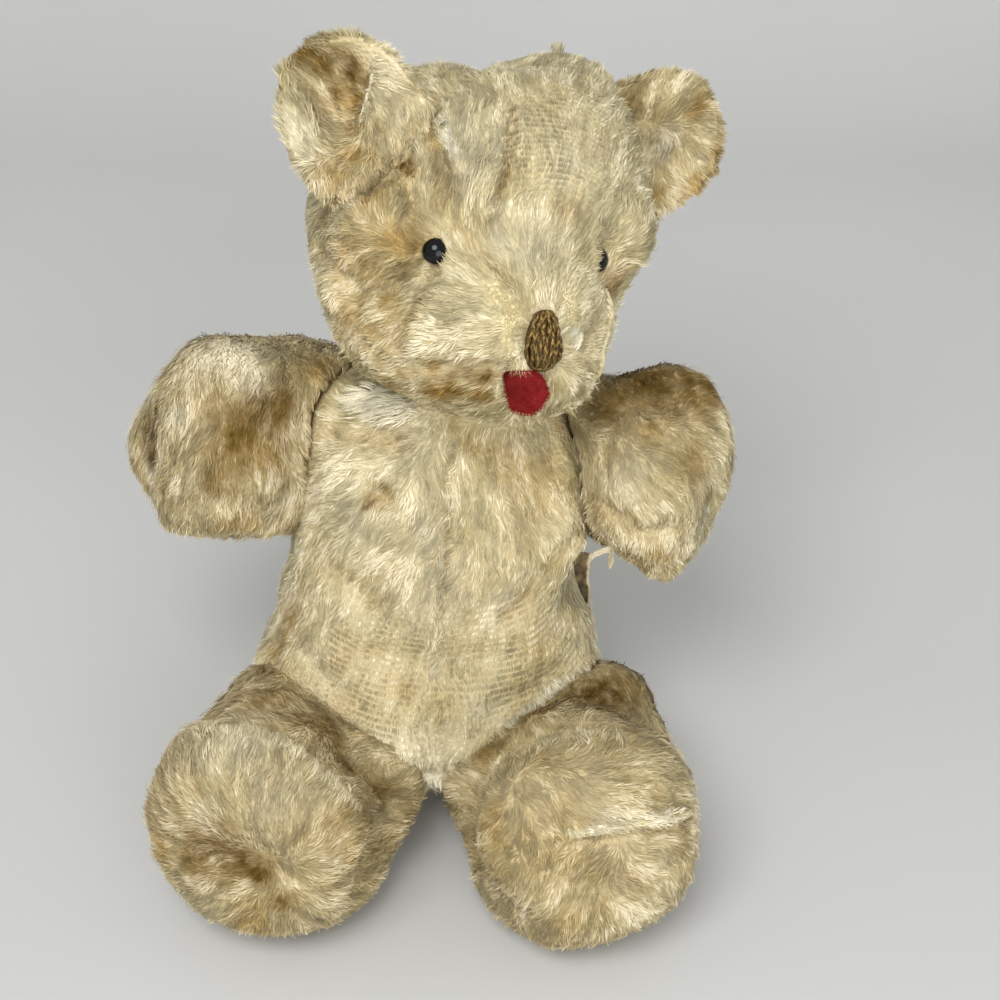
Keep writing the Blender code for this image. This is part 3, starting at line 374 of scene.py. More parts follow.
# Folds that move the whole section: path, width, movement.
FOLDS = {
    "ear_right": [
        ([(-33, 41, 217), (-27, 39, 216), (-24, 36, 210), (-24, 32, 204)], 4.6, (0.4, 8.0, -1.0)),
        ([(-38, 43, 219), (-38, 33, 212), (-36, 26, 204), (-33, 21, 196)], 4.0, (0.2, -2.6, 0.3)),
        ([(-36, 43, 222), (-22, 43, 224)], 4.0, (0.0, -3.0, -0.6)),
        ([(-12, 41, 221), (-7, 40, 219), (-2, 37, 214)], 6.0, (0.8, -2.2, 2.6)),
        ([(-36, 43, 222), (-28, 44, 224), (-20, 43, 224)], 6.0, (-1.0, 0.0, 3.6)),
        ([(-40, 42, 219)], 5.5, (-2.2, 0.0, 2.2)),
        ([(-2, 35, 210), (-6, 31, 205), (-11, 26, 199), (-17, 22, 194),
          (-22, 20, 192)], 5.0, (-0.4, 2.6, -0.6)),
    ],
    "head": [
        ([(47, 76, 198), (38, 82, 200)], 8.0, (1.5, 1.5, 4.6)),
        ([(24, 82, 204)], 8.0, (0.0, 0.0, 2.8)),
        ([(-6, 77, 204), (4, 81, 206)], 8.0, (0.0, 0.0, -4.2)),
        ([(58.5, 41.5, 168)], 7.0, (1.2, -0.6, 0.0)),
        ([(-9.6, 8.2, 172)], 4.0, (0.3, 1.2, 0.2)),
        ([(4, 33, 205), (-3, 31, 201), (-9, 28, 196), (-14, 26, 191),
          (-20, 24, 186)], 5.0, (-0.4, -3.4, 1.8)),
        ([(-26, 22, 178), (-27, 18, 170)], 5.5, (-1.6, -1.0, 0.0)),
        ([(-10, 20, 186), (-15, 18, 181)], 6.0, (-0.6, -2.0, 0.8)),
    ],
    "torso": [
        ([(36, 12, 110), (36, 8, 96), (38, 8, 87)], 7.0, (7.2, 0.0, 0.0)),
        ([(41, 6, 66), (43, 22, 60), (44, 37, 56)], 7.0, (-3.2, 0.0, 0.0)),
        ([(-54, 28, 30), (-54, 14, 35), (-51, 2, 42)], 9.0, (-6.0, 0.0, 2.0)),
        ([(-47, 8, 64)], 8.0, (-1.5, 0.0, 0.0)),
        ([(44.9, 5.1, 46.8)], 8.0, (2.5, 0.0, 0.0)),
        ([(-14, -22, 44), (-7, -24, 30), (1, -24, 28), (10, -23, 42)], 7.0, (0.0, -7.5, -1.5)),
    ],
    "leg_right": [
        ([(-9, -26, 28), (-9, -36, 26)], 7.0, (6.5, 0.0, 1.0)),
        ([(-9, -56, 31), (-10, -63, 31)], 8.0, (-5.0, 0.0, 0.0)),
        ([(-13, -70, 29), (-16, -74, 22), (-24, -76, 14)], 10.0, (-7.5, 0.0, 0.0)),
    ],
    "leg_left": [
        ([(5, -26, 28), (4, -36, 26)], 7.0, (-6.0, 0.0, 1.0)),
        ([(2, -54, 30), (2, -62, 31), (5, -70, 27), (10, -76, 20)], 11.0, (10.5, 0.0, 0.5)),
        ([(58, -8, 49), (59, -19, 49)], 8.0, (3.5, 0.0, 1.0)),
    ],
    "arm_right": [
        ([(-44, 15, 88), (-44, 46, 80)], 7.0, (5.0, 0.0, -5.0)),
        ([(-79, 12, 87)], 5.0, (-4.0, 0.0, -4.5)),
        ([(-88, 31, 104)], 10.0, (-2.8, 0.0, 0.0)),
        ([(-57, 8, 84)], 4.0, (0.0, 0.0, 3.8)),
        ([(-65, 41, 137)], 8.0, (0.0, 0.0, 1.6)),
        ([(-84, 36, 131), (-90, 33, 124)], 8.0, (3.6, 0.0, -4.0)),
        ([(-42, 40, 100), (-41, 20, 100)], 7.0, (3.0, 0.0, -1.0)),
    ],
    "arm_left": [
        ([(66, 3, 75)], 5.0, (0.5, -1.0, -4.2)),
        ([(71, 37, 123), (79, 31, 122)], 8.0, (0.5, 1.0, 6.5)),
        ([(62, 30, 128)], 7.0, (0.0, 0.0, 2.5)),
        ([(46, 52, 121)], 8.0, (0.0, 0.0, -2.5)),
        ([(87, 22, 86)], 6.0, (-2.6, 0.0, 0.0)),
        ([(46, 1, 83), (54, 0, 79)], 7.0, (0.0, 1.0, 6.5)),
        ([(33, 14, 112), (35, 10, 98), (38, 8, 86)], 8.0, (5.0, 0.0, 0.0)),
    ],
    "ear_left": [
        ([(59, 77, 178), (66, 79, 174), (72, 79, 171)], 5.0, (-0.5, 3.5, 0.5)),
        ([(61, 82, 188), (67, 82, 181), (74, 82, 176), (81, 82, 173)], 3.0, (0.0, -1.2, 0.2)),
    ],
}
# Bulges of the stuffing: centre, reach, height.
BULGES = {
    "head": [
        ((55.4, 34, 171), 8, 3.6),
        ((52.8, 32.7, 179), 7, 2),
        ((-22.6, 28.4, 184), 10, 2.4),
        ((-16.7, 16.6, 180), 8, 4.6),
        ((-10.4, 20.9, 189), 6, 2.2),
        ((-28, 18.1, 165), 8, 2.6),
        ((-22.4, 6.3, 156), 7, 2.2),
        ((-10.5, -0.6, 155), 7, 1.8),
        ((5.7, -4.8, 159), 9, 1.6),
        ((37.6, -1.8, 158), 5, 1.6),
        ((36.9, -5.9, 149), 4, 3),
        ((40.2, 0.5, 142), 4, 1.2),
        ((-6.3, 40.9, 201), 5, 2),
        ((-2.4, 26.3, 198), 5, 1.4),
        ((9.7, 24.4, 202), 9, 1.6),
        ((33.6, 28.9, 200), 14, 1.4),
        ((-2.7, -2.2, 143), 5, 1.8),
        ((-13.7, 1.6, 145), 5, 1.4),
        ((8.5, -7.5, 147), 5, 1.6),
        ((11, 2.9, 173), 8, 1),
        ((-7.7, 0.8, 162), 4, 1.2),
    ],
    "torso": [
        ((-6.6, 0.6, 100), 14, 1.4),
        ((-3.1, -24.4, 29.8), 9, 2.2),
        ((21.9, 10.4, 114), 9, 1),
        ((-28.1, 8.9, 110), 9, 1.2),
        ((-25.7, -7.7, 76.1), 10, 1),
        ((19, -8.8, 75.1), 8, 1.2),
        ((35.2, -10.2, 55.6), 8, 1),
        ((-10.9, 15.8, 123), 8, 0.8),
    ],
    "leg_right": [
        ((-52.3, -59.6, 67.3), 9, 1.8),
        ((-70.2, -66.3, 53.4), 9, 1.2),
        ((-27.8, -78.4, 46.7), 9, 1.2),
        ((-65.4, -74.2, 21.1), 9, 1),
    ],
    "leg_left": [
        ((33.7, -63, 66.7), 11, 1.6),
        ((14.9, -75.8, 51.6), 9, 1.2),
        ((57.6, -69.5, 60.1), 8, 1),
        ((44.6, -82.8, 30.4), 9, 1),
    ],
    "arm_right": [
        ((-57.5, 23.4, 138), 9, 1.6),
        ((-72.4, 5.8, 126), 7, 1.8),
        ((-78.7, 6.7, 101), 7, 1.4),
        ((-45.1, 7.7, 111), 8, 1.2),
        ((-60.8, -0.1, 99), 7, 1.2),
    ],
    "arm_left": [
        ((51.2, 0.2, 116), 9, 1.4),
        ((68.7, -2.4, 101), 8, 1),
        ((72.5, 27.5, 126), 7, 1.2),
        ((54.5, -5.9, 94.5), 7, 1.2),
    ],
}
# Paths that more than one of the next tables follows.
CHEST_SEAM = [(4.7, 20.5, 126), (3.9, 11.8, 119), (2.5, 2.5, 104), (1.3, -4.6, 88.1), (-0, -11.3, 71.6),
              (-0.7, -18, 54.6), (-1.8, -23.7, 36.4)]
EAR_RIDGE = [(-18.2, 42.6, 225), (-16.1, 39, 220), (-17.2, 36.7, 215), (-19.4, 34.4, 210), (-21, 31.5, 205)]
ARM_CUT = [(79.8, 10.4, 95.8), (79, 10.1, 89.5), (78.4, 10.9, 82.1)]
# Creases and seams: path, width, depth; a negative depth is a ridge.
CREASES = {
    "head": [
        ([(20.3, 35.2, 209), (20.8, 29.2, 205), (20, 22.2, 200), (17.6, 16.2, 193),
          (14.7, 12.8, 188)], 1, 3),
        ([(21.9, 34.7, 208), (22.4, 29.7, 205), (21.6, 22.8, 200), (19.2, 16.6, 193)], 1.8, -2),
        ([(-2, 8.5, 176), (-4.5, 7.1, 173), (-6.9, 5.4, 170), (-8.5, 3.2, 166),
          (-10.1, 1.3, 161)], 2.2, 3.8),
        ([(-5.3, 6.6, 172), (-11.2, 6.3, 169), (-18.4, 8.7, 167), (-24.3, 13.7, 166)], 2.4, 2.4),
        ([(45.9, 22.8, 173), (45.8, 23.2, 169), (46.9, 20.3, 166), (50.1, 21.7, 161)], 1.8, 3),
        ([(44.7, 22.5, 177), (43, 19.3, 174), (43.6, 21.9, 169)], 1.8, -1.4),
        ([(-1.7, 45.7, 207), (-1, 37.6, 204), (0.6, 27.5, 200), (3.3, 20, 196),
          (1.7, 15.9, 190)], 1.7, 3.2),
        ([(-34.7, 37.2, 166), (-25.9, 19.6, 171), (-22.3, 12.7, 168), (-22.3, 8.6, 162)], 2.2, 2.8),
        ([(-31.8, 22.2, 156), (-22.4, 7.2, 158), (-14.6, 2.1, 158), (-9.7, -0.9, 155)], 2.2, 1.8),
        ([(-19.7, 3.9, 153), (-12.9, 0.1, 149), (-3, -3.8, 151), (6.7, -7, 153), (12.3, -8.3, 155),
          (18.9, -9.7, 154)],
         1.8, 2.8),
        ([(30.3, -9, 152), (31.7, -9.2, 149), (32.6, -8.3, 144)], 1.2, 1.6),
        ([(41.9, 1.1, 151), (44.1, 5.2, 154), (45.3, 9.5, 156)], 1.6, 1.2),
        ([(-12.5, 27, 192), (-7.7, 21.1, 191), (-5.8, 17.1, 187), (-7.7, 14.9, 183)], 2.4, 1.6),
        ([(-24.8, 34.3, 186), (-20, 33.4, 190), (-14.6, 25.6, 190)], 2.4, 1.4),
        ([(48.4, 19.8, 161), (49, 16.3, 153), (45.8, 9.1, 149), (43, 8.4, 140),
          (35.8, -0.9, 137)], 1.3, -2),
        ([(44.8, 14.1, 162), (45.3, 9.5, 156), (41.3, 0.1, 151)], 2, 1.4),
        ([(8.6, 11, 185), (11.8, 7.5, 180), (17.6, 4.1, 176)], 2.4, 0.9),
        ([(25.5, 0.7, 170), (23.9, -2.7, 166), (22.9, -7.9, 159)], 1, 0.8),
        ([(12, 60, 211), (13, 88, 196), (13, 104, 165), (13, 102, 140)], 1.4, 1.4),
        ([(-30, 70, 170), (-24, 84, 160), (-20, 90, 146)], 3.2, 1.4),
    ],
    "torso": [
        (CHEST_SEAM, 1.2, 1.5),
        ([(35.9, 6.7, 89.5), (32.7, -0.1, 82.9), (26.3, -6.5, 76.2), (19.6, -10.1, 71.7)], 2, 1.8),
        ([(-17.4, 3.9, 106), (-14.3, 2.8, 104)], 2.2, 3.6),
        ([(9.1, 11.8, 118), (17.6, 10.3, 115), (26.2, 9, 110), (33.5, 8.5, 100)], 2.6, 1.5),
        ([(-34.9, 19.4, 117), (-25.2, 14.9, 119), (-12.3, 11.9, 118)], 2.6, 1.4),
        ([(33.8, 21.4, 117), (35.5, 16, 109), (36.8, 11.9, 97.6), (38.1, 9.6, 86.6)], 1.6, 2.4),
        ([(-3, 40, 128), (-3, 66, 112), (-3, 72, 80), (-3, 66, 40), (-3, 58, 20)], 1.4, 1.6),
        ([(-30, 60, 60), (-20, 66, 70), (-10, 68, 74)], 3, 1),
        ([(-51.4, 2.1, 42.2), (-38.4, -16.7, 45), (-28.1, -20.9, 38.6), (-19.1, -23.2, 31.9)], 2.2, -0.8),
        ([(-18.8, -23.2, 32), (-10.5, -24, 31.5), (-0.1, -24.2, 31.3), (8.7, -23.9, 31.8),
          (15.2, -23.2, 33.1)],
         1.2, 2),
        ([(48.2, 20.9, 32.4), (35.3, -13.1, 49.6), (23.5, -20, 44), (8.7, -23.9, 31.8)], 2.2, -0.8),
        ([(-37, 1.4, 83.7), (-27.1, -4.5, 82.7), (-19.3, -8.5, 76.7)], 2.6, 1),
        ([(-27.4, -12.1, 64.8), (-17.2, -15, 61.5), (-8.6, -19, 51.7)], 2.8, 0.9),
    ],
    "leg_right": [
        ([(-67.3, -30.3, 54.4), (-56.6, -46.4, 66.2), (-47.5, -49.7, 66.7), (-39.1, -48.3, 63.1),
          (-30.4, -53.4, 59), (-20.7, -62.5, 54.2), (-12.2, -60.2, 43)],
         2.8, 2.6),
        ([(-75.3, -67.7, 35.8), (-63.7, -75, 38.7), (-49.6, -78.5, 40.1), (-36.2, -81.3, 35.4)], 3, 1.6),
        ([(-47.2, -78.4, 43.7), (-44.6, -79.3, 40.9)], 2.2, 2),
        ([(-35.5, -72.5, 59.4), (-27.7, -73.7, 55.1), (-22.1, -76.6, 44.9)], 3, 1),
    ],
    "leg_left": [
        ([(3, -43.5, 35.2), (9, -39.8, 39.9), (17.6, -36.8, 45.2), (26.3, -38.9, 53.2),
          (40.5, -46.2, 64.6), (54.5, -47.4, 63.9)],
         2.8, 2.6),
        ([(32.4, -80.1, 53), (44.1, -78.7, 53.8), (56.2, -75.4, 53.4), (69.2, -66.7, 47.8)], 1.4, -1.6),
        ([(32.4, -80.9, 50.8), (44.1, -79.6, 51.4), (56.2, -76.7, 51), (69.2, -68.3, 45.6)], 2, 1.8),
        ([(70, -48.4, 51.2), (73.4, -57, 44.4), (73.1, -64.4, 32.5)], 2.4, 1.6),
        ([(9.5, -74, 46), (22.9, -81.4, 47.6), (33.6, -82.9, 40.1)], 3, 1.2),
        ([(32, -16.2, 50.3), (38.8, -11.5, 52.1), (46.5, -22.4, 54.6)], 2.4, 1.4),
    ],
    "arm_right": [
        ([(-84.8, 22.2, 125), (-88.5, 24.4, 114), (-87.8, 21.4, 105), (-84.5, 15, 99)], 2.6, 2),
        ([(-61.9, 9.4, 133), (-56.3, 4.9, 126), (-55.9, 1.1, 115)], 3.4, 1.6),
        ([(-71.9, 0.6, 104), (-62.9, -1.1, 107), (-53.7, 2, 102)], 3, 1.2),
        ([(-40.5, 36.4, 134), (-36.5, 26.8, 129), (-36.3, 18.5, 121)], 3, 1.6),
    ],
    "arm_left": [
        ([(87.2, 23, 108), (82.4, 13.7, 96.3), (79.2, 12.4, 81), (74.4, 9.3, 76.6)], 1.3, 2.2),
        ([(49.1, 21.5, 127), (60.2, 16.8, 127), (72, 20.8, 126)], 3, 1.8),
        ([(43.7, 0.1, 103), (51.5, -5, 102), (57.2, -6.4, 96.6), (65.2, -4.6, 98.1)], 2.4, 2.4),
        ([(46.1, 17.7, 125), (46.9, 8.1, 121), (45.8, 2.8, 114)], 2.6, 1.2),
        ([(71.5, 13.7, 124), (75.4, 8.1, 118), (74.3, 3.7, 110)], 3, 1.2),
        (ARM_CUT, 1.3, 2),
    ],
    "ear_right": [
        (EAR_RIDGE, 1, -2),
        ([(-35.8, 40.2, 217), (-31.5, 36.2, 211), (-27.7, 30.8, 205), (-23.9, 26.1, 200)], 1.5, 3),
        ([(-2.6, 35.9, 212), (-7.7, 34.8, 211), (-11.1, 33.2, 209), (-14.3, 30.6, 205)], 1.6, 1.6),
    ],
    "ear_left": [
        ([(63.5, 82.5, 188), (62.6, 79.1, 177), (64, 74.7, 166)], 2.2, 1.8),
        ([(67.2, 83.2, 185), (67.5, 80.6, 176), (65.8, 75.9, 168)], 2.2, -1.2),
        ([(74, 83.7, 181), (78.4, 82.6, 175), (82.3, 80.2, 167)], 2, 1.6),
    ],
}
# Bare places where only stubble is left: path, width.
BALD = {
    "head": [
        ([(16, 1.5, 172), (19.2, -0.8, 169), (21.3, -3.7, 165), (22.3, -7.4, 160), (21.8, -8.8, 157)], 2.2),
        ([(35.2, 4.4, 168), (36.8, 2.3, 164), (37, -1.4, 159)], 2),
        ([(48.4, 19.8, 161), (49.8, 19.5, 152), (45.8, 9.1, 149), (43, 8.4, 140), (35.3, -3.2, 139)], 0.8),
    ],
    "leg_left": [
        ([(33.5, -79.9, 53.5), (44.1, -78.5, 54.3), (56.2, -75.2, 53.9), (67.7, -68.3, 49.4)], 0.8),
    ],
    "torso": [
        ([(8, 67, 92), (4, 69, 86)], 3),
    ],
    "ear_right": [
        (EAR_RIDGE, 1),
    ],
}
# Where the rows of the weave show: centre, reach, the point that the rows circle, pitch.
ROWS = {
    "torso": [
        ((22, -15.2, 57.9), 20, (3, 10, 118), 1.85),
        ((-15.9, -17.8, 54.4), 20, (3, 10, 118), 1.85),
        ((0.1, -20.2, 48.8), 14, (3, 10, 118), 1.85),
    ],
    "head": [
        ((34.2, 29.1, 200), 15, (30, 4, 166), 1.6),
        ((38, 42.6, 205), 9, (30, 4, 166), 1.6),
    ],
}
# Seam along the left side of the muzzle.
RIM = [(48.7, 20.7, 163), (49.6, 19.2, 158), (49, 16.4, 153), (47.3, 12.2, 150), (45.6, 9.3, 147),
       (44.3, 8.3, 143), (41.7, 2.5, 143), (39.5, 5.4, 137), (35.8, 1.9, 135), (31.1, -2.2, 135)]
# What combs the far sides of every section, in the form of COMB.
COMB_ALL = [((0, 105, 150), (0.0, 0.2, -1.0)), ((0, 90, 60), (0.0, 0.1, -1.0)),
            ((-90, 70, 110), (-0.3, 0.3, -0.9)), ((95, 70, 110), (0.3, 0.3, -0.9)),
            ((0, 60, 235), (0.0, 1.0, -0.1))]
# Locks that stand out of the pile: path, direction, spread, count, length, lift in degrees, and their
# amounts of tan, soil and pale.
LOCKS = {
    "head": [
        ([(33, 82, 203)],
         (0, 1, 0), 0.8, 220, 7, 70, (0.05, 0, 0.7)),
        ([(0.9, 39.1, 206), (3.2, 31.2, 204), (5.2, 24.9, 201)],
         (0.30, -0.89, -0.33), 0.9, 600, 4.2, 9, (0, 0, 1)),
        ([(21.3, -8.7, 157), (23.4, -8.7, 157), (25.5, -8.9, 157)],
         (0.00, -0.37, -0.93), 0.6, 360, 6.8, 62, (0.15, 0.22, 0)),
        ([(25.5, -1.3, 167), (28.2, 0.4, 169), (31.4, 1.7, 168), (33, 1.1, 166)],
         (-0.00, -0.65, -0.76), 0.5, 420, 3.2, 42, (0.35, 0.1, 0.2)),
        ([(23.9, -4.4, 164), (23.4, -6.9, 161), (23.1, -8.7, 157)],
         (-1.00, -0.04, 0.02), 0.3, 200, 3, 40, (0.2, 0.1, 0.3)),
        ([(48.4, 19.4, 161), (49, 16.3, 153), (45.8, 9.1, 149), (43, 8.4, 140), (36.8, -0.5, 138)],
         (0.13, 0.56, -0.82), 0.6, 360, 2.4, 30, (0.05, 0, 0.6)),
        ([(-28.1, 35.2, 182), (-23.3, 32.6, 186), (-18.3, 32.9, 190), (-13.4, 35.4, 194),
          (-9, 37.8, 197), (-5.2, 39.7, 201)],
         (-0.33, 0.94, 0.06), 1.4, 2600, 7.6, 22, (0.45, 0.1, 0.1)),
        ([(17.3, -10.1, 151), (17.1, -10.2, 148)],
         (-0.11, 0.27, -0.96), 0.5, 30, 3, 24, (0.1, 0.05, 0.1)),
        ([(37.3, 0.3, 160), (38.1, -1.3, 157)],
         (0.39, 0.84, 0.38), 1, 120, 3.6, 30, (0, 0, 0.8)),
        ([(-7.7, 30.3, 196), (-5.9, 25.7, 195)],
         (-0.41, -0.70, -0.58), 1, 170, 3.6, 14, (0.9, 0.75, 0)),
        ([(45.8, 22.4, 168), (45.5, 23.5, 170)],
         (0.90, -0.22, -0.39), 0.4, 50, 2.2, 30, (0.6, 0.9, 0)),
        ([(-2.6, 9.7, 176), (0.6, 8, 176)],
         (-0.45, -0.43, -0.78), 0.7, 90, 4, 24, (0.5, 0.3, 0)),
    ],
    "torso": [
        # A white tuft at the neck, kept at full pale, which also paints light where the head shades it.
        ([(-21.4, 22.7, 126), (-15.6, 20.5, 126), (-8.1, 19, 125)],
         (-0.96, -0.16, -0.22), 1.8, 1100, 9.5, 44, (0, 0, 1)),
        # Pale locks over the torso's V tip: pale fur whose full pale also paints light into the shade between
        # the legs.
        ([(-13.7, -23.3, 23.2), (-6.4, -22.9, 19.5), (1.2, -23.3, 20.7), (6.3, -23.9, 25.4)],
         (0.02, 0.31, -0.95), 2.4, 1500, 7, 16, (0, 0, 1)),
        (CHEST_SEAM[1:6],
         (-0.48, -0.34, -0.81), 1.1, 560, 4.8, 12, (0, 0, 0.3)),
        ([(-51.3, 1.2, 42.2), (-38.3, -16.4, 45.5), (-28, -20.8, 39.3), (-18.5, -23.3, 31.2)],
         (-0.41, 0.19, -0.89), 0.9, 900, 4, 22, (0.05, 0, 0.6)),
        ([(47.3, 16, 37.6), (35.3, -12.8, 50.2), (23.5, -19.9, 44.7), (11.1, -23.5, 35.4)],
         (0.45, -0.03, -0.89), 0.9, 900, 4, 22, (0.05, 0, 0.65)),
    ],
    "leg_right": [
        ([(-65.2, -46.2, 63.5), (-54.3, -54, 67.6), (-44.6, -56.4, 66.9), (-36.5, -57.7, 64.4),
          (-26.9, -63.7, 59.1), (-17.7, -65.7, 50.6)],
         (-0.01, 0.96, -0.30), 2.2, 2000, 6, 17, (0.18, 0.06, 0.25)),
    ],
    "leg_left": [
        ([(35, -80, 52.9), (38.8, -79.5, 53.5), (45.7, -78.2, 54.4)],
         (0.95, 0.21, 0.23), 1, 260, 4.6, 16, (0, 0, 0.95)),
        ([(54.8, -75.8, 53.9), (60.9, -73.2, 52.7), (69.2, -66.2, 48.5)],
         (0.79, 0.53, -0.30), 1, 240, 4.2, 18, (0, 0, 0.9)),
        ([(44, -77.1, 57.3), (54.8, -73.4, 58.1)],
         (0.83, 0.07, -0.56), 3, 260, 6, 8, (0, 0, 0.3)),
        ([(9.2, -48, 43.3), (17.6, -46.3, 49.4), (27.2, -53.7, 62.2), (40.1, -54.4, 67.2),
          (51.5, -55.4, 66.7)],
         (-0.05, 0.85, -0.52), 2, 900, 6, 18, (0.18, 0.06, 0.2)),
    ],
    "ear_right": [
        ([(-18.2, 42.6, 225), (-16.1, 39.2, 220), (-16.9, 36.7, 215), (-19.4, 34.4, 210), (-21, 31.5, 205)],
         (-0.37, -0.41, -0.84), 0.4, 700, 1.8, 58, (0, 0, 1)),
        ([(-27.5, 18.1, 190), (-22.2, 20, 192), (-16.4, 23.1, 196), (-10.1, 27.4, 201), (-3.7, 32.8, 208)],
         (0.31, -0.34, -0.89), 1.4, 1500, 5.6, 20, (0.45, 0.12, 0.1)),
    ],
    "arm_left": [
        (ARM_CUT,
         (-0.12, -0.02, -0.99), 0.5, 260, 2.8, 46, (0, 0, 1)),
    ],
}


# ---------------------------------------------------------------- colours
def linear(red, green, blue):
    """Scene-linear colour of an sRGB colour given as numbers from 0 to 255."""
    parts = []
    for value in (red, green, blue):
        value /= 255.0
        parts.append(value / 12.92 if value <= 0.04045 else ((value + 0.055) / 1.055) ** 2.4)
    return (*parts, 1.0)


CREAM_SHADE = linear(206, 191, 143)
CREAM = linear(230, 218, 176)
PALE = linear(246, 238, 208)
# The colour of the painted glints on the brightest strands.
PAINTED_GLINT = linear(250, 244, 222)
TAN = linear(190, 149, 70)
BROWN = linear(90, 70, 28)
BACKING = linear(236, 222, 172)


# ---------------------------------------------------------------- noise and fields
def hashed(cells, seed):
    """A number from 0 to 1 for each whole-number cell."""
    mixed = (cells[..., 0] * 73856093) ^ (cells[..., 1] * 19349663) ^ (cells[..., 2] * 83492791)
    mixed = (mixed ^ (seed * 2654435761)) & 0xFFFFFFFF
    mixed = ((mixed ^ (mixed >> 15)) * 2246822519) & 0xFFFFFFFF
    mixed = ((mixed ^ (mixed >> 13)) * 3266489917) & 0xFFFFFFFF
    return ((mixed ^ (mixed >> 16)) & 0xFFFFFF) / float(0xFFFFFF)


def noise(points, size, seed):
    """Smooth noise from -1 to 1 whose lumps are about size across. Each use has a seed of its own."""
    scaled = points / size
    base = np.floor(scaled).astype(np.int64)
    part = scaled - base
    part = part * part * (3 - 2 * part)
    total = np.zeros(len(points))
    for corner in range(8):
        step = np.array([(corner >> axis) & 1 for axis in range(3)])
        weight = np.prod(np.where(step == 1, part, 1 - part), axis=1)
        total += weight * hashed(base + step, seed)
    return total * 2 - 1


def swirl(points, size, seed):
    """Noise for each of the three axes."""
    return np.stack([noise(points, size, seed + axis) for axis in range(3)], axis=1)


def fade(values, low, high):
    """0 at low, 1 at high, smooth between; low may be above high."""
    t = np.clip((values - low) / (high - low), 0, 1)
    return t * t * (3 - 2 * t)


def near(points, centre, reach):
    """Bell-shaped weight round a place in millimetres, 1 at the centre."""
    gap = ((points - np.array(centre) * MM) ** 2).sum(axis=1)
    return np.exp(-0.5 * gap / (reach * MM) ** 2)


def near_path(points, path, width):
    """Bell-shaped weight along a path of straight runs, or round its single place, in millimetres."""
    best = np.full(len(points), 1e9)
    for start, end in zip(path, path[1:] or path):
        start, end = np.array(start) * MM, np.array(end) * MM
        run = end - start
        along = np.clip(((points - start) @ run) / max(run @ run, 1e-12), 0, 1)
        gap = ((points - start - along[:, None] * run) ** 2).sum(axis=1)
        best = np.minimum(best, gap)
    return np.exp(-0.5 * best / (width * MM) ** 2)


def unit(vectors):
    return vectors / np.maximum(np.linalg.norm(vectors, axis=-1, keepdims=True), 1e-12)


def along_surface(vectors, normals):
    """Unit vectors turned flat to the surface."""
    return unit(vectors - normals * (vectors * normals).sum(axis=1)[:, None])


# ---------------------------------------------------------------- mesh helpers
def placed(name, data, material=None):
    """A new object in the scene, of a mesh, a lamp or a camera."""
    if material:
        data.materials.append(material)
    piece = bpy.data.objects.new(name, data)
    bpy.context.scene.collection.objects.link(piece)
    return piece


def read(collection, field, width):
    """A row of numbers for each item of a collection."""
    values = np.empty(len(collection) * width, np.float32)
    collection.foreach_get(field, values)
    return values.reshape(-1, width).astype(np.float64)


def read_corners(collection, width):
    """A row of vertex numbers for each edge or triangle of a collection."""
    values = np.empty(len(collection) * width, np.int32)
    collection.foreach_get("vertices", values)
    return values.reshape(-1, width)


def vertex_normals(mesh):
    return read(mesh.vertex_normals, "vector", 3)


def surface_tree(mesh):
    """A tree that finds places on a mesh."""
    return BVHTree.FromPolygons([Vector(point) for point in read(mesh.vertices, "co", 3)],
                                [tuple(polygon.vertices) for polygon in mesh.polygons])


def write(mesh, points):
    mesh.vertices.foreach_set("co", points.astype(np.float32).ravel())
    mesh.update()


def evaluated(piece):
    graph = bpy.context.evaluated_depsgraph_get()
    return bpy.data.meshes.new_from_object(piece.evaluated_get(graph))


def applied(mesh, kind, **settings):
    """A copy of the mesh with one modifier applied."""
    piece = placed("work", mesh)
    modifier = piece.modifiers.new("work", kind)
    for name, value in settings.items():
        setattr(modifier, name, value)
    result = evaluated(piece)
    bpy.data.objects.remove(piece)
    return result


def relaxed(mesh, rounds, strength=0.5):
    """Vertex positions after smoothing along the edges."""
    points = read(mesh.vertices, "co", 3)
    edges = read_corners(mesh.edges, 2)
    degree = np.bincount(edges.ravel(), minlength=len(points))[:, None]
    for _ in range(rounds):
        total = np.zeros_like(points)
        for axis in range(3):
            total[:, axis] += np.bincount(edges[:, 0], points[edges[:, 1], axis], len(points))
            total[:, axis] += np.bincount(edges[:, 1], points[edges[:, 0], axis], len(points))
        points += (total / np.maximum(degree, 1) - points) * strength
    return points


def triangle_mesh(name, points, triangles):
    mesh = bpy.data.meshes.new(name)
    count = len(triangles)
    mesh.vertices.add(len(points))
    mesh.vertices.foreach_set("co", points.astype(np.float32).ravel())
    mesh.loops.add(count * 3)
    mesh.loops.foreach_set("vertex_index", triangles.astype(np.int32).ravel())
    mesh.polygons.add(count)
    mesh.polygons.foreach_set("loop_start", np.arange(0, count * 3, 3, dtype=np.int32))
    mesh.polygons.foreach_set("use_smooth", np.full(count, True))
    mesh.update(calc_edges=True)
    return mesh


def folded(name, place):
    """Where a place of the CAD section, in millimetres, lies once the section is folded."""
    spot = np.array([place], float) * MM
    for path, width, movement in FOLDS.get(name, []):
        spot += near_path(spot, path, width)[:, None] * np.array(movement) * MM
    return tuple(spot[0] / MM)


for section in FOLDS:
    for table in (COMB, BLOTS_AND_SHADE, BULGES):
        table[section] = [(folded(section, place), *rest) for place, *rest in table.get(section, [])]
    for table in (CREASES, BALD, LOCKS):
        table[section] = [([folded(section, place) for place in path], *rest)
                          for path, *rest in table.get(section, [])]

# ---------------------------------------------------------------- skins
CAD_POINTS = {name: read(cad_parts[name].data.vertices, "co", 3) for name in STUFFED}
CAD_TREES = {name: surface_tree(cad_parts[name].data) for name in STUFFED}


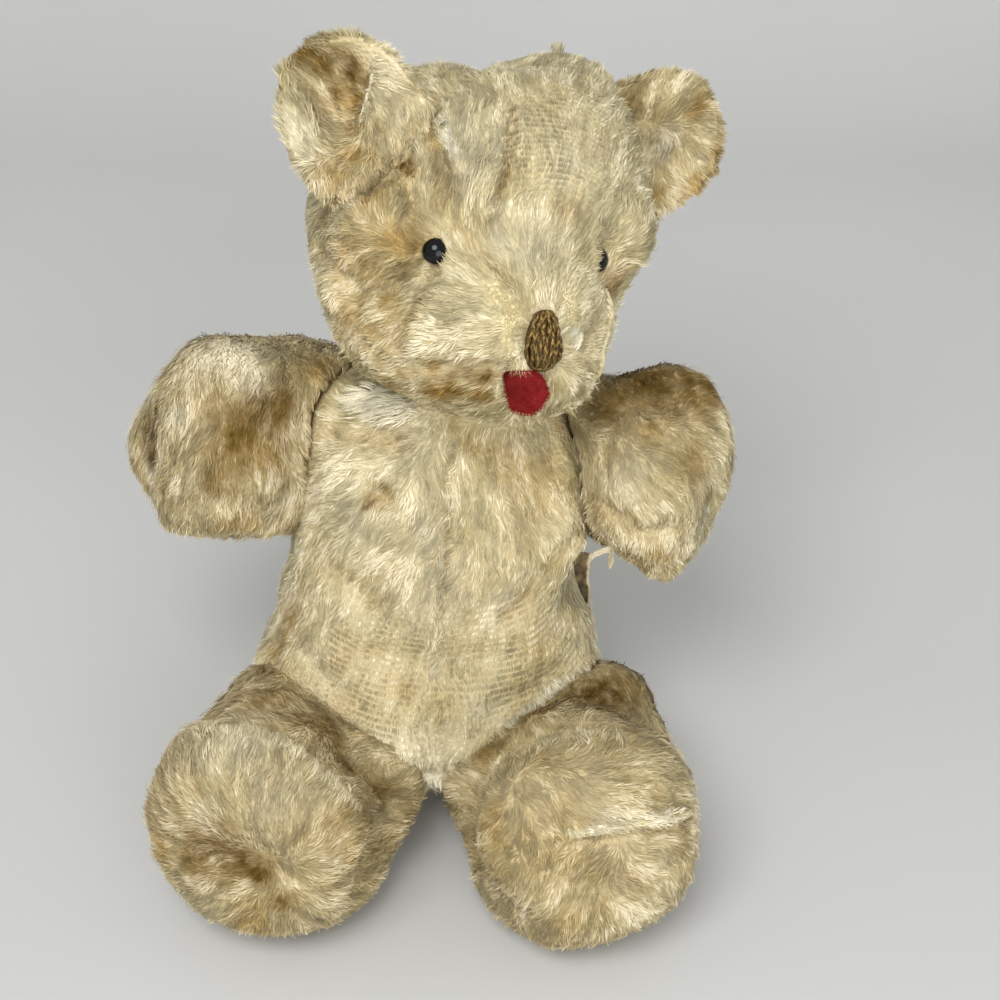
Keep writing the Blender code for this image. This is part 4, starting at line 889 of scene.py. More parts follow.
def eye_of(name, sunk, keep, shift):
    """Seat of a CAD eye's dome, its outward direction, and how far off the pile keeps."""
    points = read(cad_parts[name].data.vertices, "co", 3)
    middle = points.mean(axis=0)
    axis = np.linalg.eigh(np.cov((points - middle).T))[1][:, 2]
    along = (points - middle) @ axis
    if -along.min() < along.max():
        axis, along = -axis, -along
    return middle + axis * (along.max() - EYE_HEIGHT - sunk) + np.array(shift), axis, keep


EYES = {"eye_right": eye_of("eye_right", 0.0013, 0.0029, (0.0012, 0.0, -0.0005)),
        "eye_left": eye_of("eye_left", 0.0030, 0.0020, (0.0018, 0.0022, -0.0002))}


def contact(name, points, normals):
    """1 where the surface lies against another stuffed section, 0 where it is free."""
    result = np.zeros(len(points))
    for other in STUFFED:
        if other == name:
            continue
        low = CAD_POINTS[other].min(axis=0) - CONTACT_FAR
        high = CAD_POINTS[other].max(axis=0) + CONTACT_FAR
        for index in np.nonzero(((points > low) & (points < high)).all(axis=1))[0]:
            spot, _, _, gap = CAD_TREES[other].find_nearest(Vector(points[index]), CONTACT_FAR)
            if spot is None:
                continue
            facing = float((np.array(spot) - points[index]) @ normals[index]) / max(gap, 1e-6)
            if facing > CONTACT_FACING or gap < CONTACT_TOUCHING:
                pressed = min(1.0, (CONTACT_FAR - gap) / (CONTACT_FAR - CONTACT_NEAR))
                result[index] = max(result[index], pressed)
    return result


def stuffed_out(mesh, held):
    """Vertex positions after the stuffing has pressed a held skin outwards, as cloth."""
    piece = placed("stuffing", mesh)
    group = piece.vertex_groups.new(name="held")
    for index, weight in enumerate(held):
        group.add([index], float(weight), "REPLACE")
    cloth = piece.modifiers.new("cloth", "CLOTH")
    settings = cloth.settings
    settings.quality = 5
    settings.mass = 0.2
    settings.use_pressure = True
    settings.uniform_pressure_force = 4.0
    settings.shrink_min = -0.03
    settings.vertex_group_mass = "held"
    settings.effector_weights.gravity = 0.0
    cloth.collision_settings.use_collision = False
    scene = bpy.context.scene
    for number in range(1, 21):
        scene.frame_set(number)
    points = read(evaluated(piece).vertices, "co", 3)
    bpy.data.objects.remove(piece, do_unlink=True)
    scene.frame_set(1)
    return points


def make_skin(name):
    """The padded skin of one stuffed section: a mesh and its contact weights."""
    mesh = applied(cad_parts[name].data.copy(), "REMESH", mode="VOXEL",
                   voxel_size=VOXEL.get(name, LIMB_VOXEL), use_smooth_shade=True)
    write(mesh, relaxed(mesh, 3))
    points = read(mesh.vertices, "co", 3)
    normals = vertex_normals(mesh)
    touch = contact(name, points, normals)
    points -= normals * ((PILE_DEPTH + SWELL) * (1 - touch) + CONTACT_INSET * touch)[:, None]
    for path, width, movement in FOLDS.get(name, []):
        points += near_path(points, path, width)[:, None] * np.array(movement) * MM
    write(mesh, points)
    held = fade(touch, 0.2, 0.7)
    for path, width, depth in CREASES.get(name, []):
        if depth > 0:
            held = np.maximum(held, fade(near_path(points, path, 2.5), 0.5, 0.9))
    pressed = stuffed_out(mesh.copy(), held) - points
    reach = np.linalg.norm(pressed, axis=1, keepdims=True)
    points += pressed * np.minimum(1, PRESSED_MOST * MM / np.maximum(reach, 1e-9))
    write(mesh, points)
    mesh = applied(mesh, "SUBSURF", levels=1, render_levels=1)
    points = read(mesh.vertices, "co", 3)
    normals = vertex_normals(mesh)
    touch = contact(name, points, normals)
    free = (1 - touch)[:, None]
    for centre, reach, height in BULGES.get(name, []):
        points += normals * free * near(points, centre, reach)[:, None] * height * MM
    for path, width, depth in CREASES.get(name, []):
        points -= normals * free * near_path(points, path, width)[:, None] * depth * MM
    if name == "head":
        for seat, axis, _ in EYES.values():
            points -= axis * (EYE_DENT * near(points, seat / MM, EYE_DENT_REACH))[:, None]
    lumps = sum(noise(points, size, seed) * height for size, seed, height in LUMPS)
    points += normals * free * lumps[:, None]
    points[:, 2] = np.maximum(points[:, 2], FLOOR_CLEAR)
    write(mesh, points)
    mesh.shade_smooth()
    return mesh, touch


# ---------------------------------------------------------------- pile
def bald_at(name, points):
    """1 where only stubble is left, 0 where the pile is whole."""
    amount = np.zeros(len(points))
    ragged = points + 0.0008 * swirl(points, 0.002, 31)
    for path, width in BALD.get(name, []):
        amount = np.maximum(amount, fade(near_path(ragged, path, width), 0.35, 0.7))
    return amount


def rows_at(name, points):
    """How plainly the rows of the weave show, and each point's move onto its row."""
    shown = np.zeros(len(points))
    shift = np.zeros_like(points)
    for centre, reach, focus, pitch in ROWS.get(name, []):
        weight = fade(near(points, centre, reach), 0.25, 0.75)
        away = points - np.array(focus) * MM
        gap = np.linalg.norm(away, axis=1)
        step = pitch * MM
        wave = gap + 0.0006 * noise(points, 0.012, 41)
        move = (np.round(wave / step) * step - wave) * 0.9
        shift += unit(away) * (move * weight)[:, None]
        shown = np.maximum(shown, weight)
    return shown, shift


def comb_at(name, points, normals):
    """Unit direction along the surface in which the pile lies at each point."""
    total = np.zeros_like(points)
    for place, direction in COMB[name] + COMB_ALL:
        gap = ((points - np.array(place) * MM) ** 2).sum(axis=1) + COMB_REACH ** 2
        total += np.array(direction)[None, :] / gap[:, None] ** 1.5
    total = along_surface(unit(total), normals)
    total += swirl(points, 0.016, 11) * 0.5 + swirl(points, 0.006, 14) * 0.3
    return along_surface(total, normals)


def creased_at(name, points):
    """1 at the bottom of a crease, 0 away from it."""
    amount = np.zeros(len(points))
    for path, width, depth in CREASES.get(name, []):
        if depth > 0.5:
            amount = np.maximum(amount, near_path(points, path, width * 1.1) * min(1.0, depth / 2))
    return amount


def blots_and_shade_at(name, points, close):
    """Tan, soil and pale amounts at each point, each from 0 to 1. Dirt and painted shade also gather in
    creases and seams.
    """
    amounts = np.zeros((len(points), 3))
    amounts[:, :2] = np.array(GENERAL_STAIN_AND_SHADE[name]) * (1 + 0.6 * noise(points, 0.022, 24))[:, None]
    stir = swirl(points, 0.007, 21)
    for place, reach, tan, soil, pale in BLOTS_AND_SHADE[name]:
        ragged = points + stir * min(MOST_STIR, STIR_SHARE * reach * MM)
        weight = near(ragged, place, reach * BLOT_SHARE)[:, None]
        amounts = np.maximum(amounts, weight * np.array((tan, soil, pale)))
    # Creases and seams darken with dirt and painted shade.
    seam = fade(close, 0.35, 1.0) * SEAM_GRIME_AND_SHADE.get(name, 1.0)
    grime_and_shade = np.maximum(creased_at(name, points), seam)
    amounts[:, :2] = np.maximum(amounts[:, :2], grime_and_shade[:, None] * GRIME_AND_SHADE)
    amounts[:, 2] *= (1 - grime_and_shade) * (1 - 0.7 * amounts[:, 1])
    return amounts


def scatter(name, skin, touch, chance):
    """Roots of the strands, the skin's normal and its contact at each; more of them where it is free."""
    points = read(skin.vertices, "co", 3)
    normals = vertex_normals(skin)
    skin.calc_loop_triangles()
    corners = read_corners(skin.loop_triangles, 3)
    first, second, third = (points[corners[:, k]] for k in range(3))
    areas = 0.5 * np.linalg.norm(np.cross(second - first, third - first), axis=1)
    free = 1 - touch
    free[(points[:, 2] < SAT_ON) & (normals[:, 2] < -0.6)] *= SAT_ON_PILE
    if name == "head":
        for seat, _, keep in EYES.values():
            free *= fade(np.linalg.norm(points - seat, axis=1), keep - 0.0006, keep + 0.0004)
    weight = areas * fade(free, 0.06, 0.32)[corners].mean(axis=1)
    facing = normals[corners].mean(axis=1)[:, 1]
    weight *= 1 - THINNER_BEHIND * fade(facing, 0.2, 0.8)
    picked = chance.choice(len(corners), PILE[name][0], p=weight / weight.sum())
    u, v = chance.random((2, PILE[name][0]))
    over = u + v > 1
    u[over], v[over] = 1 - u[over], 1 - v[over]
    shares = np.stack((1 - u - v, u, v), axis=1)[:, :, None]
    triangles = corners[picked]
    root = (points[triangles] * shares).sum(axis=1)
    order = np.argsort(interleaved(((root - root.min(axis=0)) / ORDER_CELL).astype(np.int64)))
    root, triangles, shares = root[order], triangles[order], shares[order]
    up = unit((normals[triangles] * shares).sum(axis=1))
    return root, up, (touch[triangles] * shares[:, :, 0]).sum(axis=1)


def tufts_of(root, chance, size):
    """The tuft that each strand belongs to, and the strand in each tuft's middle."""
    heads = chance.choice(len(root), len(root) // size, replace=False)
    tree = KDTree(len(heads))
    for index, spot in enumerate(root[heads]):
        tree.insert(spot, index)
    tree.balance()
    scattered = root + chance.normal(0, 0.00035, root.shape)
    return np.array([tree.find(spot)[1] for spot in scattered]), heads


def interleaved(numbers):
    """One whole number for each row, its bits taken in turn from the row's three numbers."""
    key = np.zeros(len(numbers), np.int64)
    for bit in range(9):
        for axis in range(3):
            key |= ((numbers[:, axis] >> bit) & 1) << (3 * bit + axis)
    return key


def bake_cells(mesh, count):
    """A bake map in which each strand has a cell of its own, near the cells of its neighbours."""
    rank = np.arange(count)
    column, row = np.zeros(count, np.int64), np.zeros(count, np.int64)
    for bit in range(9):
        column |= ((rank >> (2 * bit)) & 1) << bit
        row |= ((rank >> (2 * bit + 1)) & 1) << bit
    wide, high = column.max() + 1, row.max() + 1
    corner = np.array(((0.5, 0.15), (0.8, 0.5), (0.2, 0.5), (0.5, 0.85)))[[0, 2, 1, 2, 3, 1]]
    place = np.stack((column, row), axis=1)[:, None, :] + corner[None, :, :]
    layer = mesh.uv_layers.new(name="OFBake")
    layer.data.foreach_set("uv", (place / (wide, high)).astype(np.float32).ravel())


def streaks(points, ways, size, reach, seed):
    """Noise with a spread of about 1, drawn out along the way that the pile lies."""
    steps = np.linspace(-reach, reach, 9)
    total = sum(noise(points + ways * step, size, seed) for step in steps)
    return total / max(total.std(), 1e-9)


def strand_mesh(name, root, middle, tip, half, up, shades):
    """Kite-shaped strands, each two triangles, shaded by the given normals of root, middle and tip."""
    count = len(root)
    across = unit(np.cross(up, tip - root))
    blade = np.stack((root, middle + across * half, middle - across * half, tip), axis=1)
    starts = np.arange(count)[:, None] * 4
    triangles = np.concatenate((starts + np.array((0, 2, 1)), starts + np.array((2, 3, 1))), axis=1)
    mesh = triangle_mesh(name, blade.reshape(-1, 3), triangles.reshape(-1, 3))
    low, centre, high = shades
    turned = BLADE_TURN * across
    leaning = np.stack((low, unit(centre + turned), unit(centre - turned), high), axis=1)
    mesh.normals_split_custom_set_from_vertices(leaning.reshape(-1, 3).astype(np.float32))
    bake_cells(mesh, count)
    return mesh


def store(mesh, name, kind, values):
    """Keep a number or a colour at each vertex, for the material to read."""
    layer = mesh.attributes.new(name, kind, "POINT")
    field = {"FLOAT": "value", "FLOAT_COLOR": "color"}[kind]
    layer.data.foreach_set(field, values.astype(np.float32).ravel())


def grown(name, chance, root, up, comb, lift, length, wide, gather, size, stains_and_shade, bald, rows, lit):
    """A piece of tapered strands that lie along the comb direction, gathered into tufts of about size.

    lift is in degrees and wide in millimetres. stains_and_shade gives the amounts of stain and painted shade
    at given places;
    bald and rows are amounts at each root. lit turns the strands towards the front and above.
    """
    count = len(root)
    tuft, heads = tufts_of(root, chance, size)
    calm = 1 - 0.5 * rows
    silk = streaks(root, comb, 0.0011, 0.0040, 71)
    locks = streaks(root, comb, 0.0030, 0.0070, 81)

    turn = (chance.normal(0, TUFT_TURN, len(heads))[tuft] + chance.normal(0, STRAND_TURN, count)) * calm
    turn += bald * chance.normal(0, BALD_TURN, count)
    side = np.cross(up, comb)
    way = comb * np.cos(turn)[:, None] + side * np.sin(turn)[:, None]
    lift = lift + (STREAK_LIFT * silk + STREAK_LIFT * locks + chance.normal(0, TUFT_LIFT, len(heads))[tuft]
                   + chance.normal(0, STRAND_LIFT, count)) * calm
    rise = np.radians(np.clip(lift, LEAST_LIFT, MOST_LIFT))
    longer = (chance.uniform(0.8, 1.15, len(heads))[tuft] - 1) * calm + 1
    length = length * longer * (1 - 0.3 * calm * chance.random(count))
    middle = root + (way * np.cos(rise)[:, None] + up * np.sin(rise)[:, None]) * (BEND * length)[:, None]
    ease = rise * TIP_EASE
    tip = middle + (way * np.cos(ease)[:, None] + up * np.sin(ease)[:, None]) * ((1 - BEND) * length)[:, None]
    pull = (tip[heads][tuft] - tip) * (gather * chance.uniform(0.5, 1.3, count) * calm * (1 - bald))[:, None]
    tip += pull
    middle += pull * 0.35
    middle[:, 2] = np.maximum(middle[:, 2], FLOOR_CLEAR)
    tip[:, 2] = np.maximum(tip[:, 2], FLOOR_CLEAR)

    half = (0.5 * wide * MM * chance.uniform(0.7, 1.3, count) * (1 + 0.4 * bald))[:, None]
    centre = np.stack([np.bincount(tuft, root[:, axis], len(heads)) for axis in range(3)], axis=1)
    centre /= np.maximum(np.bincount(tuft, minlength=len(heads)), 1)[:, None]
    beside = np.clip(((root - centre[tuft]) * side).sum(axis=1) / TUFT_HALF, -1, 1)[:, None]
    facing = unit(up + lit * FRONT_AND_ABOVE)
    body = facing + TUFT_ROUNDNESS * beside * side + 0.10 * chance.normal(0, 1, (len(heads), 3))[tuft]
    shades = (unit(body - 0.15 * way), unit(body), unit(body + 0.35 * way))
    mesh = strand_mesh(name, root, middle, tip, half, facing, shades)
    colour = np.ones((count, 4, 4))
    for corner, place in ((0, root), (1, middle), (3, tip)):
        colour[:, corner, :3] = stains_and_shade(place)
    colour[:, 2] = colour[:, 1]
    store(mesh, "blots_and_shade", "FLOAT_COLOR", colour)
    # The along attribute paints shade that deepens towards each strand's root, deeper still in the rows of
    # the weave, where it draws shadow lines between the rows.
    base = 0.3 + 0.2 * (1 - rows)
    half_way = base + 0.5 * (1 - base)
    store(mesh, "along", "FLOAT", np.stack((base, half_way, half_way, np.ones(count)), axis=1))
    # The tone paints sheen: patches and streaks along the comb that are lighter or darker as the pile would
    # catch the light, over a random tone of each tuft and strand.
    painted_sheen = 0.17 * np.tanh(2 * noise(root, 0.020, 61)) + 0.17 * np.tanh(2 * noise(root, 0.008, 62))
    tone = 0.5 + painted_sheen + 0.15 * silk + 0.13 * locks
    tone += 0.03 * chance.normal(0, 1, len(heads))[tuft] + 0.12 * chance.normal(0, 1, count)
    store(mesh, "tone", "FLOAT", np.repeat(np.clip(tone, 0, 1), 4))
    store(mesh, "bald", "FLOAT", np.repeat(bald, 4))
    piece = placed(name, mesh, PILE_MATERIAL)
    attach(piece, "root")
    return piece


def make_pile(name, skin, touch):
    """The pile of one stuffed section."""
    chance = np.random.default_rng(sum(map(ord, name)))
    _, long, wide, lift, gather = PILE[name]
    root, up, close = scatter(name, skin, touch, chance)
    rows, shift = rows_at(name, root)
    root += shift
    bald, dent = bald_at(name, root), creased_at(name, root)
    lift = lift + 6 * noise(root, 0.011, 51) + 25 * bald - 8 * dent + 7 * rows
    stray = (chance.random(len(root)) < STRAY_SHARE) * (1 - bald) * (1 - rows) * (1 - close)
    lift = lift + STRAY_LIFT * stray
    length = long * MM * (1 - 0.72 * bald) * (1 - 0.55 * rows) * (1 - 0.45 * dent) * (1 + 0.15 * stray)
    lit = (PILE_LIT + STRAY_LIT * stray)[:, None]
    return grown(name + "_pile", chance, root, up, comb_at(name, root, up), lift, length, wide, gather, TUFT,
                 lambda spots: blots_and_shade_at(name, spots, close), bald, rows, lit)


def make_locks(name):
    """Locks that stand out of a section's pile, each from its row in the table."""
    chance = np.random.default_rng(sum(map(ord, name)) + 1)
    roots, ups, ways, lifts, lengths, amounts = [], [], [], [], [], []
    for path, direction, spread, count, long, lift, stain in LOCKS[name]:
        path = np.array(path, float).reshape(-1, 3)
        place = chance.random(count) * (len(path) - 1)
        step = np.minimum(place.astype(int), max(len(path) - 2, 0))
        run = path[np.minimum(step + 1, len(path) - 1)] - path[step]
        spots = path[step] + run * (place - step)[:, None]
        spots = spots * MM + chance.normal(0, spread * MM, (count, 3))
        found = [SKIN_TREES[name].find_nearest(Vector(spot)) for spot in spots]
        up = np.array([item[1] for item in found])
        roots.append(np.array([item[0] for item in found]))
        ups.append(up)
        ways.append(along_surface(np.array(direction) + 0.22 * chance.normal(0, 1, (count, 3)), up))
        lifts.append(lift + chance.normal(0, 5, count))
        lengths.append(long * MM * chance.uniform(0.7, 1.1, count))
        amounts.append(np.tile(stain, (count, 1)))
    root = np.concatenate(roots)
    nothing = np.zeros(len(root))
    piece = grown(name + "_locks", chance, root, np.concatenate(ups), np.concatenate(ways),
                  np.concatenate(lifts), np.concatenate(lengths), PILE[name][2], LOCK_GATHER,
                  LOCK_TUFT, lambda spots: np.concatenate(amounts), nothing, nothing, LOCK_LIT)


# ---------------------------------------------------------------- materials
class Nodes:
    """Short hand for building one material's nodes."""

    def __init__(self, name):
        self.material = bpy.data.materials.new(name)
        self.material.use_nodes = True
        self.tree = self.material.node_tree
        self.shader = self.tree.nodes["Principled BSDF"]

    def add(self, kind, inputs=None, **settings):
        node = self.tree.nodes.new(kind)
        for key, value in settings.items():
            setattr(node, key, value)
        for key, value in (inputs or {}).items():
            self.put(node.inputs[key], value)
        return node

    def put(self, socket, value):
        if isinstance(value, bpy.types.NodeSocket):
            self.tree.links.new(value, socket)
        else:
            socket.default_value = value

    def attribute(self, name):
        return self.add("ShaderNodeAttribute", attribute_name=name).outputs["Fac"]

    def place(self):
        return self.add("ShaderNodeTexCoord").outputs["Object"]

    def noise(self, scale, detail=2.0, rough=0.5):
        return self.add("ShaderNodeTexNoise", {"Vector": self.place(), "Scale": scale, "Detail": detail,
                                               "Roughness": rough}).outputs["Fac"]

    def math(self, operation, first, second=0.0, clamp=False):
        node = self.add("ShaderNodeMath", operation=operation, use_clamp=clamp)
        self.put(node.inputs[0], first)
        self.put(node.inputs[1], second)
        return node.outputs[0]

    def span(self, value, low, high, to_low=0.0, to_high=1.0):
        return self.add("ShaderNodeMapRange", {"Value": value, "From Min": low, "From Max": high,
                                               "To Min": to_low, "To Max": to_high}).outputs[0]

    def mix(self, factor, first, second, blend="MIX"):
        node = self.add("ShaderNodeMix", data_type="RGBA", blend_type=blend)
        self.put(node.inputs[0], factor)
        self.put(node.inputs[6], first)
        self.put(node.inputs[7], second)
        return node.outputs[2]

    def finish(self, colour, rough, height=None, depth=0.0005, strength=0.6, **fixed):
        self.put(self.shader.inputs["Base Color"], colour)
        self.put(self.shader.inputs["Roughness"], rough)
        for key, value in fixed.items():
            self.shader.inputs[key.replace("_", " ")].default_value = value
        if height is not None:
            bump = self.add("ShaderNodeBump", {"Strength": strength, "Distance": depth, "Height": height})
            self.put(self.shader.inputs["Normal"], bump.outputs[0])
        return self.material


def stained_and_shaded_colour(nodes):
    """The plush's colour, stained, soiled, bleached and shaded as the blots_and_shade attribute says, and its
    amount of stain and shade.
    """
    layer = nodes.add("ShaderNodeAttribute", attribute_name="blots_and_shade")
    parts = nodes.add("ShaderNodeSeparateColor", {"Color": layer.outputs["Color"]})
    patches = nodes.noise(55.0, 3.0, 0.6)
    cream = nodes.mix(nodes.span(patches, 0.35, 0.65), CREAM_SHADE, CREAM)
    fine = nodes.span(nodes.noise(260.0, 2.0), 0.3, 0.7, 0.7, 1.15)
    tan = nodes.math("MULTIPLY", parts.outputs[0], fine, clamp=True)
    soil = nodes.math("MULTIPLY", parts.outputs[1], fine, clamp=True)
    colour = nodes.mix(tan, cream, TAN)
    colour = nodes.mix(soil, colour, BROWN)
    colour = nodes.mix(parts.outputs[2], colour, PALE)
    return nodes.mix(nodes.attribute("bald"), colour, BACKING), nodes.math("MAXIMUM", tan, soil)


def pile_material():
    nodes = Nodes("worn_plush_pile")
    colour, stain = stained_and_shaded_colour(nodes)
    # Painted shade: darker towards the strands' roots.
    depth = nodes.span(nodes.attribute("along"), 0.0, 1.0, 0.62, 1.0)
    # The tone attribute carries painted sheen as well as random tone.
    lay = nodes.attribute("tone")
    tone = nodes.span(lay, 0.1, 0.9, 0.52, 1.18)
    shade = nodes.math("MULTIPLY", depth, tone)
    gray = nodes.add("ShaderNodeCombineColor", {0: shade, 1: shade, 2: shade}).outputs[0]
    # The brightest tones get painted glints, fewer where the plush is stained.
    painted_glint = nodes.math("MULTIPLY", nodes.span(lay, 0.64, 0.98, 0.0, 0.5), nodes.math("SUBTRACT", 1.0, stain))
    colour = nodes.mix(1.0, nodes.mix(painted_glint, colour, PAINTED_GLINT), gray, "MULTIPLY")
    sheen = nodes.mix(stain, linear(255, 238, 202), linear(236, 190, 112))
    nodes.put(nodes.shader.inputs["Specular Tint"], sheen)
    return nodes.finish(colour, 0.42, Specular_IOR_Level=0.38)


def skin_material():
    nodes = Nodes("plush_backing")
    bald = nodes.attribute("bald")
    # The backing is darkened towards a tan brown as painted shade under the pile.
    colour = nodes.mix(0.22, stained_and_shaded_colour(nodes)[0], linear(160, 132, 84))
    weave = nodes.add("ShaderNodeTexVoronoi", {"Vector": nodes.place(), "Scale": 900.0}).outputs["Distance"]
    loops = nodes.mix(nodes.span(weave, 0.1, 0.6), BACKING, linear(186, 166, 118))
    colour = nodes.mix(bald, colour, loops)
    return nodes.finish(colour, 0.8, weave, 0.0006, 0.8)


PILE_MATERIAL = pile_material()
SKIN_MATERIAL = skin_material()


# ---------------------------------------------------------------- stuffed sections
SKIN_TREES = {}


def make_stuffed(name):
    """One stuffed section: its padded skin and the pile on it."""
    skin_mesh, touch = make_skin(name)
    points = read(skin_mesh.vertices, "co", 3)
    colour = np.ones((len(points), 4))
    colour[:, :3] = blots_and_shade_at(name, points, touch)
    store(skin_mesh, "blots_and_shade", "FLOAT_COLOR", colour)
    store(skin_mesh, "bald", "FLOAT", bald_at(name, points))
    skin_mesh.materials.clear()
    skin = placed(name + "_skin", skin_mesh, SKIN_MATERIAL)
    SKIN_TREES[name] = surface_tree(skin_mesh)
    pile = make_pile(name, skin_mesh, touch)
    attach(skin, "root")
    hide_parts(name)


for stuffed in STUFFED:
    make_stuffed(stuffed)
for stuffed in STUFFED:
    if LOCKS.get(stuffed):
        make_locks(stuffed)


# ---------------------------------------------------------------- eyes
def bridge(build, rows, around=False):
    """Quads between rows of vertices, each row the same length; around closes every row on itself."""
    for low, high in zip(rows, rows[1:]):
        for index in range(len(low) if around else len(low) - 1):
            following = (index + 1) % len(low)
            build.faces.new((low[index], low[following], high[following], high[index]))


def smooth_mesh(name, build):
    """The finished mesh of a bmesh, shaded smooth."""
    mesh = bpy.data.meshes.new(name)
    build.to_mesh(mesh)
    build.free()
    mesh.shade_smooth()
    return mesh


def mesh_of(name, rings):
    """A mesh of quads between closed rings of points."""
    build = bmesh.new()
    bridge(build, [[build.verts.new(point) for point in ring] for ring in rings], around=True)
    bmesh.ops.remove_doubles(build, verts=build.verts, dist=1e-6)
    bmesh.ops.recalc_face_normals(build, faces=build.faces)
    return smooth_mesh(name, build)


def eye_material():
    nodes = Nodes("eye_plastic")
    worn = nodes.noise(900.0, 3.0, 0.6)
    colour = nodes.mix(nodes.span(worn, 0.55, 0.8), linear(6, 6, 7), linear(20, 18, 16))
    rough = nodes.span(worn, 0.4, 0.75, 0.05, 0.22)
    return nodes.finish(colour, rough, nodes.noise(500.0), 0.0001, 0.25, Specular_IOR_Level=0.28,
                        Coat_Weight=0.05)


def make_eye(name, material):
    """A low dome with a rolled edge, half sunk in the pile."""
    seat, axis, _ = EYES[name]
    profile = [(EYE_RADIUS * math.sin(angle), EYE_HEIGHT * math.cos(angle))
               for angle in np.radians(np.linspace(0, EYE_DOME, EYE_RINGS))]
    profile += [(EYE_RADIUS * 1.0, -0.0004), (EYE_RADIUS * 0.93, -0.0009), (EYE_RADIUS * 0.4, -0.0011),
                (0.0, -0.0011)]
    turn = Vector(axis).to_track_quat("Z", "Y").to_matrix()
    rings = []
    for radius, height in profile:
        around = np.linspace(0, 2 * math.pi, EYE_SIDES, endpoint=False)
        rings.append([turn @ Vector((radius * math.cos(a), radius * math.sin(a), height)) + Vector(seat)
                      for a in around])
    eye = placed(name + "_dome", mesh_of(name + "_dome", rings), material)
    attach(eye, "root")
    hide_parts(name)


# ---------------------------------------------------------------- nose
# The ply attribute paints each thread from a dark colour to a bright one where its twist faces out: painted
# highlights.
def thread_material():
    nodes = Nodes("nose_thread_silk")
    strand = nodes.span(nodes.noise(1400.0, 2.0), 0.3, 0.7)
    low = nodes.mix(strand, linear(30, 19, 7), linear(72, 51, 21))
    high = nodes.mix(strand, linear(98, 76, 36), linear(180, 148, 86))
    colour = nodes.mix(nodes.attribute("ply"), low, high)
    return nodes.finish(colour, 0.26, nodes.noise(2500.0), 0.0002, 0.4, Specular_IOR_Level=0.75,
                        Specular_Tint=linear(255, 224, 160))


def rounded(route, count=6, closed=False):
    """Points along a smooth curve through the places of a route, count for each run."""
    spaced = []
    total = len(route)
    for index in range(total if closed else total - 1):
        start, end = route[index], route[(index + 1) % total]
        before = route[index - 1] if closed or index else 2 * start - end
        after = route[(index + 2) % total] if closed or index + 2 < total else 2 * end - start
        for step in range(count):
            t = step / count
            square = 2 * before - 5 * start + 4 * end - after
            cube = 3 * start - before - 3 * end + after
            spaced.append(0.5 * (2 * start + (end - before) * t + square * t ** 2 + cube * t ** 3))
    if not closed:
        spaced.append(route[-1])
    return np.array(spaced)


def tube(path, radius, sides):
    """Rings of points round a path."""
    path = np.array(path)
    runs = unit(np.gradient(path, axis=0))
    first = unit(np.cross(runs, (0.3, 0.9, 0.2)))
    second = np.cross(runs, first)
    rings = []
    radius = np.broadcast_to(radius, len(path))
    for index in range(len(path)):
        swell = radius[index] * (0.35 if index in (0, len(path) - 1) else 1.0)
        rings.append([Vector(path[index] + swell * (math.cos(a) * first[index] + math.sin(a) * second[index]))
                      for a in np.linspace(0, 2 * math.pi, sides, endpoint=False)])
    return rings


def joined(build, layer, mesh, tones):
    """Add a mesh, with a tone for each of its vertices, and return those vertices."""
    start = len(build.verts)
    build.from_mesh(mesh)
    build.verts.ensure_lookup_table()
    added = build.verts[start:]
    for vertex, tone in zip(added, tones):
        vertex[layer] = tone
    return added


